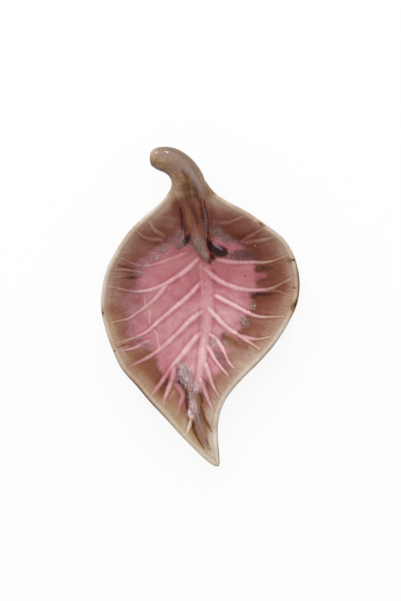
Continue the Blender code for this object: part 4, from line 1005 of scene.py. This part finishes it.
def insideGlaze(name):
    # One number, how deep the glaze lies, takes each glaze from pale where it is thin on rims
    # and veins to nearly black where it pooled. Masks say which glaze it is: the noises added to
    # a field make its edge ragged, and between says where the mask starts and where it is full.
    material, shader, start = newMaterial(name)
    colours = glazeColours
    field = start.field
    place = start.place()
    flow = field("flow", 1)  # along the rim and down the wall, in millimetres
    streak = flow.scaled(0.9, 0.09, 1).noise(0.8, 4, 0.6, 0.5)
    hair = flow.scaled(2.6, 0.22, 1).noise(0.8, 3, 0.6, 0.9)
    broad = place.noise(0.055, 3)
    cloud = place.noise(0.17, 4, 0.6, 0.4)
    fine = place.noise(0.7, 4, 0.6)
    veinReach, veinPale = field("veinReach"), field("veinPale")
    lip, rimShade = field("lipTurn"), field("rimShade")
    mixing = field("mixing")
    wall = field("rimReach").rise(3.0, 9.0)

    # how deep the brown glaze lies
    streaks = (streak * 0.24 + hair * 0.14) * (0.3 + wall * 0.25 + mixing * 0.45)
    depth = field("depth") + (cloud + broad) * 0.10 + streaks + fine * 0.05
    # painted shade on the rim's outer edge, where rimShade is
    depth = depth + rimShade * lip.between(0.12, 0.5) * 0.42
    gathered = veinReach.between(0.6, 1.0) * veinReach.between(2.6, 1.1) * veinPale
    pool = (field("pools") + fine * 0.35 + hair * 0.12 + cloud * 0.25).between(-0.25, 0.85)
    purple = (field("purple") + fine * 0.35).between(-0.2, 0.8)
    runs = (field("runs") + hair * 0.5 + cloud * 0.5).between(-0.6, 1.0)
    tipRuns = (field("tipRuns") + hair * 0.35 + fine * 0.3 + cloud * 0.3).between(-0.6, 1.0)
    depth = depth + gathered * 0.14 + pool * (0.72 + fine * 0.12) + purple * 0.34
    depth = depth + runs * 0.20 + tipRuns * 0.40
    thin = (veinReach + fine * 0.20 + cloud * 0.15).between(1.30, 0.15) * veinPale
    brownDepth = depth - thin * 0.33 * (0.7 + wall * 0.3)
    golden = (field("golden") + cloud * 0.5 + streak * 0.3).between(0.1, 0.9)
    brown = golden.over(brownDepth.ramp(colours["brownRamp"]), brownDepth.ramp(colours["goldRamp"]))

    # how deep the pink glaze lies, where it turns paler, and its milky lines, two of them painted
    # highlights
    pinkDepth = field("pinkDepth") + 0.52 + (cloud + broad) * 0.20 + streak * 0.06 + fine * 0.07
    pinkDepth = pinkDepth + gathered * 0.12 + pool * 0.8 + purple * 0.4
    pinkDepth = pinkDepth - thin.most(field("ribPale")) * 0.34
    veil = field("veil") * (0.8 + cloud * 0.5 + fine * 0.4)
    pink = veil.over(pinkDepth.ramp(colours["pinkRamp"]), colours["veil"])
    # milky lines, two of them painted highlights
    milkAndHighlight = (field("milkAndHighlight") + fine * 1.1 + cloud * 0.9).between(0.0, 1.1)

    # its ragged streaky edge: mauve and pale seams where the two ran together, dark creases
    edge = field("pinkEdge") + streak * (3.6 + mixing * 5) + hair * (2.4 + mixing * 5) + fine * 0.8
    pinkShare = edge.between(-1.6 - mixing * 5, 1.4 + mixing)
    onVein = (veinReach + cloud * 0.3 + fine * 0.2).between(2.0, 0.6) * field("veinPink")
    mauve = (mixing * 0.6 + streak * 0.9 + hair * 0.7 + cloud * 0.4).between(0.2, 1.0) * wall
    ragged = edge + fine * 1.2
    seam = ragged.size().between(1.3, 0.2) * (cloud + hair * 0.5 + mixing * 0.8).between(0.2, 0.7)
    crease = (cloud + hair * 0.6 + mixing * 0.8).between(0.2, 0.8)
    crease = (ragged - 1.6).size().between(0.9, 0.1) * crease
    haze = (field("haze") + hair * 0.5 + fine * 0.7 + cloud * 0.3).between(0.0, 0.9)
    haze = haze * (1 - tipRuns * 0.7)

    # the stem is olive where it is free and takes the wall's brown as it runs down the bowl
    oliveShare = (field("olive") + cloud * 0.15 + hair * 0.1 + streak * 0.4).between(0.15, 0.85)
    oliveDepth = field("depth") - 0.02 + cloud * 0.45 + broad * 0.25 + streak * 0.3
    olive = (oliveDepth + fine * 0.2 + runs * 0.5).ramp(colours["oliveRamp"])
    # the crest's lavender-grey mottling, partly painted sheen
    sheenAndMottle = (field("sheenAndMottle") * 0.8 + fine * 0.7 + cloud * 1.2 + streak * 0.7).between(-0.05, 1.15)
    # painted shade along the stem's turned-away sides
    stemSideShade = (field("stemSideShade") + fine * 0.4).between(-0.1, 1.0)
    lavender = (field("lavender") + fine * 0.9 + hair * 0.7 + cloud * 0.4).between(0.0, 1.0)

    # patches where the glaze crawled: threads of grey, lavender and dark
    thread = field("threads", 1)
    worms = thread.scaled(0.26, 1.0, 1).noise(0.43, 2, 0.5, 1.8)
    crumbs = thread.scaled(0.55, 1.4, 1).noise(0.8, 3, 0.6, 1.6)
    lightness = thread.height() * 0.01 + worms * 0.44 + crumbs * 0.24
    threadLine = worms.size().between(0.13, 0.03)
    threads = (threadLine * 0.5).over(lightness.ramp(colours["crawlRamp"]), colours["threadLine"])
    crawl = (field("crawls") + fine * 0.6 + crumbs * 0.6).between(-0.05, 0.45)

    # each coat lies over those before it: how much of it shows, and its colour
    # painted shade where the rim's lip and the stem's sides turn away, deeper where rimShade is
    turn = lip + rimShade * 0.22 * lip.between(0.05, 0.3)
    chips = field("chips") + fine * 0.3
    coats = [
        (mauve * 0.7, colours["mauve"]),
        (pinkShare.most(onVein * 0.68), pink),
        (seam * wall * 0.62, colours["seam"]),
        (crease * wall * 0.50, colours["crease"]),
        (haze * 0.75, colours["haze"]),
        (milkAndHighlight * 0.55, colours["milkAndHighlight"]),
        (oliveShare, olive),
        (sheenAndMottle * 0.8, colours["sheenAndMottle"]),
        (crawl * 0.88, threads),
        (lavender * 0.78, colours["lavender"]),
        (stemSideShade * 0.75, colours["stemSideShade"]),
        (turn.between(0.52, 0.80) * 0.75, colours["turnedEdgeShade"]),
        (chips.between(-0.1, 0.4) * 0.8, colours["chipBrown"]),
        (chips.between(0.35, 0.7), colours["chip"]),
        (field("pinholes").between(0.0, 0.5), colours["pinhole"]),
        # painted glints
        (field("paintedGlints").between(0.0, 0.6), colours["paintedGlint"]),
    ]
    colour = brown
    for share, coat in coats:
        colour = share.over(colour, coat)

    # gloss and the small unevenness of the fired surface
    roughness = 0.17 + crawl * 0.12 + fine * 0.03 + thin * 0.08
    waves = place.noise(0.12, 2) * 0.5 + fine * 0.03 + crawl * crumbs * 0.4
    finishMaterial(
        shader,
        {"Base Color": colour, "Roughness": roughness, "Normal": waves.bump(0.25, 0.0008)},
        {"IOR": 1.5, "Specular IOR Level": 0.36},
    )
    return material


def undersideGlaze(name):
    # Brown glaze wiped thin, mottled, with small dark drops, and painted shade along the lip's outer
    # edge.
    material, shader, start = newMaterial(name)
    colours = glazeColours
    place = start.place()
    streak = start.field("flow", 1).scaled(0.5, 0.06, 1).noise(0.8, 4, 0.6, 0.6)
    cloud = place.noise(0.10, 4, 0.6, 0.4)
    fine = place.noise(0.8, 4, 0.6)
    rimReach = start.field("rimReach") + cloud * 2 + streak * 2
    drops = place.noise(1.9, 2, 0.5).between(0.5, 0.62)
    colour = (cloud + streak * 0.4).between(-0.7, 0.8).over(colours["wallBrown"], colours["wallTan"])
    for share, coat in (
        ((cloud + fine * 0.3).between(0.2, 0.9) * 0.6, "wallRed"),
        (rimReach.between(7.0, 2.0), "rimTan"),
        # painted shade along the lip's outer edge
        (rimReach.between(1.5, 0.5), "outerLipShade"),
        (drops * 0.4, "drops"),
    ):
        colour = share.over(colour, colours[coat])
    roughness = 0.26 + fine * 0.05
    waves = place.noise(0.14, 2) * 0.5 + fine * 0.06
    finishMaterial(
        shader,
        {"Base Color": colour, "Roughness": roughness, "Normal": waves.bump(0.25, 0.0008)},
        {"IOR": 1.5},
    )
    return material


def bareClay(name):
    # Biscuit clay: matt, gritty and stained, with the wall's glaze running onto its top.
    material, shader, start = newMaterial(name)
    colours = glazeColours
    place = start.place()
    cloud = place.noise(0.2, 4, 0.6)
    grit = place.noise(2.5, 3, 0.7)
    glazed = (place.height() + cloud * 0.5).between(0.9, 1.5)
    colour = cloud.between(-0.5, 0.5).over(colours["clay"], colours["clayStain"])
    colour = (grit.between(0.25, 0.6) * 0.6).over(colour, colours["grit"])
    colour = glazed.over(colour, colours["wallTan"])
    finishMaterial(
        shader,
        {"Base Color": colour, "Roughness": 0.8 - glazed * 0.5, "Normal": grit.bump(0.3, 0.0004)},
        {"IOR": 1.5},
    )
    return material


insideMaterial = insideGlaze("rose brown glaze")
undersideMaterial = undersideGlaze("underside glaze")
clayMaterial = bareClay("bare clay")
print("made materials")


# The pieces

def makeLeaf():
    # Rings out along the inside, over the rim in a half round, and back along the underside.
    outline = leafOutline()
    count = 2 * leaf["stations"]
    shares = np.linspace(0, 1, leaf["insideRings"])
    inside, normals = claySide(outline, shares, 1)
    relief = veinFields(inside.reshape(-1, 3)[:, :2])[0].reshape(inside.shape[:2])
    fading = np.clip((1 - shares) * veinShape["rimFade"], 0, 1)[:, None]
    inside = inside + normals * (relief * fading)[..., None]

    edge, edgeNormals, outward = wallRings(outline, [1.0])
    angles = np.linspace(np.pi / 2, -np.pi / 2, leaf["lipRings"] + 2)[1:-1][:, None, None]
    lip = edge + leaf["rimThickness"] / 2 * (np.cos(angles) * outward + np.sin(angles) * edgeNormals)
    underside, _ = claySide(outline, np.linspace(1, 0, leaf["undersideRings"]), -1)

    grid = np.concatenate([inside, lip, underside])
    rows = len(grid)
    points = grid.reshape(-1, 3)
    ring = np.repeat(np.arange(rows), count)
    lipTurn = np.clip((ring - leaf["insideRings"] + 1) / (leaf["lipRings"] + 1), 0, 1)
    fading = np.clip(1 - lipTurn * bedding["lipFade"], 0, 1)
    points[:, 2] += (bedded(points) - points[:, 2]) * fading

    # distance to the rim's crest along the surface, and the place along the rim
    steps = np.linalg.norm(np.diff(grid, axis=0), axis=2)
    gone = np.concatenate([np.zeros((1, count)), np.cumsum(steps, axis=0)])
    rimReach = abs(gone - gone[leaf["insideRings"] + leaf["lipRings"] // 2])
    around = np.cumsum(np.linalg.norm(np.roll(outline[0], -1, axis=0) - outline[0], axis=1))
    flow = np.stack([np.broadcast_to(around, rimReach.shape), rimReach, np.zeros_like(rimReach)], axis=2)

    # both sides share the points of the midline, and a face there has each of its corners once
    index = np.arange(rows * count).reshape(rows, count)
    mirror = np.concatenate([[0], np.arange(count - 1, 0, -1)])
    folded = np.where(np.arange(count) > leaf["stations"], mirror, np.arange(count))
    index[0] = index[0][folded]
    index[-1] = index[-1][folded]
    used, packed = np.unique(gridFaces(index), return_inverse=True)
    faces = [list(dict.fromkeys(face)) for face in packed.reshape(-1, 4).tolist()]
    lastInside = leaf["insideRings"] + int(leaf["lipRings"] * leaf["insideLip"])
    slots = np.repeat((np.arange(rows - 1) >= lastInside).astype(int), count)

    fields = glazeFields(points[used][:, :2], rimReach.ravel()[used], flow.reshape(-1, 3)[used])
    fields["lipTurn"] = lipTurn[used]
    materials = [insideMaterial, undersideMaterial]
    piece = newPiece("glazedLeaf", points[used] * mm, faces, fields, materials, slots)
    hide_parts("leaf_dish")


def makeStem():
    # A flattened oval carried along the path. Its lower half is flatter where it lies on clay.
    path = stemPath()
    centre = path[:, [0, 1, 3]]
    along = unit(np.gradient(centre, axis=0) + [0, 0, 1e-9])
    side = unit(np.cross(along, up))
    top = np.cross(side, along)
    angles = np.arange(stem["sides"]) * 2 * np.pi / stem["sides"]
    sine = np.sin(angles)
    width = stem["width"] / 2 * path[:, 2:3] * np.cos(angles)
    below = path[:, 4:] * sine
    height = np.where(sine > 0, stem["thickness"] / 2 * path[:, 2:3] * sine, below)
    grid = centre[:, None] + side[:, None] * width[..., None] + top[:, None] * height[..., None]
    rows, count = grid.shape[:2]
    ends = [centre[:1] - along[:1] * stem["endPoint"], centre[-1:]]
    points = np.vstack([grid.reshape(-1, 3)] + ends)
    index = np.arange(rows * count).reshape(rows, count)
    right = np.roll(index, -1, axis=1)
    faces = gridFaces(index).tolist()
    faces += np.stack([index[0], right[0], np.full(count, rows * count)], axis=1).tolist()
    faces += np.stack([right[-1], index[-1], np.full(count, rows * count + 1)], axis=1).tolist()
    rimReach = np.full(len(points), stem["glazeReach"])
    fields = glazeFields(points[:, :2], rimReach, np.zeros((len(points), 3)))
    fields["lipTurn"] = np.append(np.tile(valueAt(sine, stem["turn"]), rows), [stem["endTurn"], 0])
    piece = newPiece("rolledStem", points * mm, faces, fields, [insideMaterial])
    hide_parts("stem_handle")


foot = {
    "stations": 360,
    # its route, as shares of the leaf's width and length
    "rows": [
        (0.02, 0.205), (0.112, 0.202), (0.188, 0.18), (0.23, 0.14), (0.232, 0.096), (0.2, 0.052),
        (0.15, 0.008), (0.09, -0.034), (0.026, -0.076), (-0.04, -0.11), (-0.108, -0.108),
        (-0.168, -0.068), (-0.214, -0.012), (-0.238, 0.048), (-0.234, 0.104), (-0.206, 0.154),
        (-0.152, 0.192), (-0.07, 0.207),
    ],
    # across the strip from its inner top to its outer top: offset and height
    "profile": [
        (-3.6, 5.9), (-2.9, 5.2), (-2.5, 4.4), (-2.3, 3.2), (-2.2, 1.4), (-2.1, 0.6), (-1.7, 0.15),
        (-1.1, 0), (0, 0), (1.1, 0), (1.7, 0.15), (2.1, 0.6), (2.2, 1.4), (2.3, 3.2), (2.5, 4.4),
        (2.9, 5.2), (3.6, 5.9), (0, 6.4),
    ],
}


def makeFoot():
    # A closed line through the places, and the strip's profile laid across it.
    places = leafPlaces(foot["rows"])
    closed = np.vstack([places, places, places, places[:1]])
    wanted = len(places) * (1 + np.arange(foot["stations"]) / foot["stations"])
    line = smoothRows(np.arange(len(closed)), closed, wanted)
    steps = np.roll(line, -1, axis=0) - np.roll(line, 1, axis=0)
    along = unit(np.column_stack([steps, np.zeros(len(line))]))
    outward = np.column_stack([-along[:, 1], along[:, 0]])
    profile = np.array(foot["profile"])
    flat = line[:, None] + outward[:, None] * profile[None, :, :1]
    heights = np.broadcast_to(profile[:, 1], flat.shape[:2])
    grid = np.concatenate([flat, heights[..., None]], axis=2)
    index = np.arange(heights.size).reshape(heights.shape)
    right, after = np.roll(index, -1, axis=1), np.roll(index, -1, axis=0)
    faces = np.stack([index, right, np.roll(right, -1, axis=0), after], axis=2).reshape(-1, 4)
    piece = newPiece("clayFoot", grid.reshape(-1, 3) * mm, faces.tolist(), {}, [clayMaterial])
    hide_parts("foot_ring")


makeLeaf()
makeStem()
makeFoot()


# Floor, light and camera, in metres

studio = {
    "worldStrength": 0.56,
    # name, place, size, power, and whether it shows as a glint: two windows and a sky light
    "lamps": [
        ("windowLeft", (-0.75, 1.45, 1.15), 0.22, 7.0, True),
        ("windowRight", (0.20, 1.60, 1.20), 0.22, 7.0, True),
        ("skylight", (-0.30, 0.90, 3.60), 1.80, 36.0, False),
    ],
    "cameraPlace": (0.00016, 0.00446),
    "cameraHeight": 3.0,
    "rimLevel": 0.027,
    "pixel": 0.00071426,  # on the rim's level
    "imageHeight": 601,  # pixels, which the sensor spans
    "sensor": 36,  # millimetres
    "farthest": 20,  # that the camera sees
    "floorReach": 3,
    "floorDrop": 0.0002,  # below the foot
    "floorColour": (250, 250, 250),
    "floorGlow": 0.88,  # share of its white that is glow, for the camera alone
}


def makeFloor():
    # A white square, which is partly glow where the camera sees it and keeps the dish's shadow.
    reach = studio["floorReach"]
    corners = [(-reach, -reach, 0), (reach, -reach, 0), (reach, reach, 0), (-reach, reach, 0)]
    mesh = bpy.data.meshes.new("floor")
    mesh.from_pydata(corners, [], [(0, 1, 2, 3)])
    floor = bpy.data.objects.new("floor", mesh)
    floor.location.z = -studio["floorDrop"]
    bpy.context.scene.collection.objects.link(floor)
    material, shader, start = newMaterial("white floor")
    finishMaterial(shader, {}, {"Base Color": paint(*studio["floorColour"]), "Roughness": 0.9})
    share = start.node("LightPath") * studio["floorGlow"]  # of what the camera sees
    glow = start.node("Emission", {}, {"Color": (1, 1, 1, 1), "Strength": 1.0})
    both = start.node("MixShader", {}, {0: share, 1: Wire(shader.outputs[0]), 2: glow})
    tree = material.node_tree
    tree.links.new(both.socket, tree.nodes["Material Output"].inputs["Surface"])
    mesh.materials.append(material)


def makeStudio():
    # A pale world, lamps that aim at the dish, and a camera that looks straight down.
    scene = bpy.context.scene
    scene.view_settings.view_transform = "Standard"
    world = bpy.data.worlds.new("studio")
    world.use_nodes = True
    scene.world = world
    ground = world.node_tree.nodes["Background"]
    ground.inputs["Color"].default_value = (1, 1, 1, 1)
    ground.inputs["Strength"].default_value = studio["worldStrength"]
    for name, (x, y, z), size, power, glints in studio["lamps"]:
        data = bpy.data.lights.new(name, "AREA")
        data.shape = "SQUARE"
        data.size = size
        data.energy = power
        lamp = bpy.data.objects.new(name, data)
        lamp.location = (x, y, z)
        lamp.rotation_euler = (math.atan2(math.hypot(x, y), z), 0, math.atan2(x, -y))
        lamp.visible_glossy = glints
        scene.collection.objects.link(lamp)
    camera = bpy.data.cameras.new("camera")
    camera.sensor_width = studio["sensor"]
    distance = studio["cameraHeight"] - studio["rimLevel"]
    camera.lens = studio["sensor"] * distance / (studio["imageHeight"] * studio["pixel"])
    camera.clip_end = studio["farthest"]
    view = bpy.data.objects.new("camera", camera)
    view.location = (*studio["cameraPlace"], studio["cameraHeight"])
    scene.collection.objects.link(view)
    scene.camera = view
    print("made studio")


makeFloor()
makeStudio()
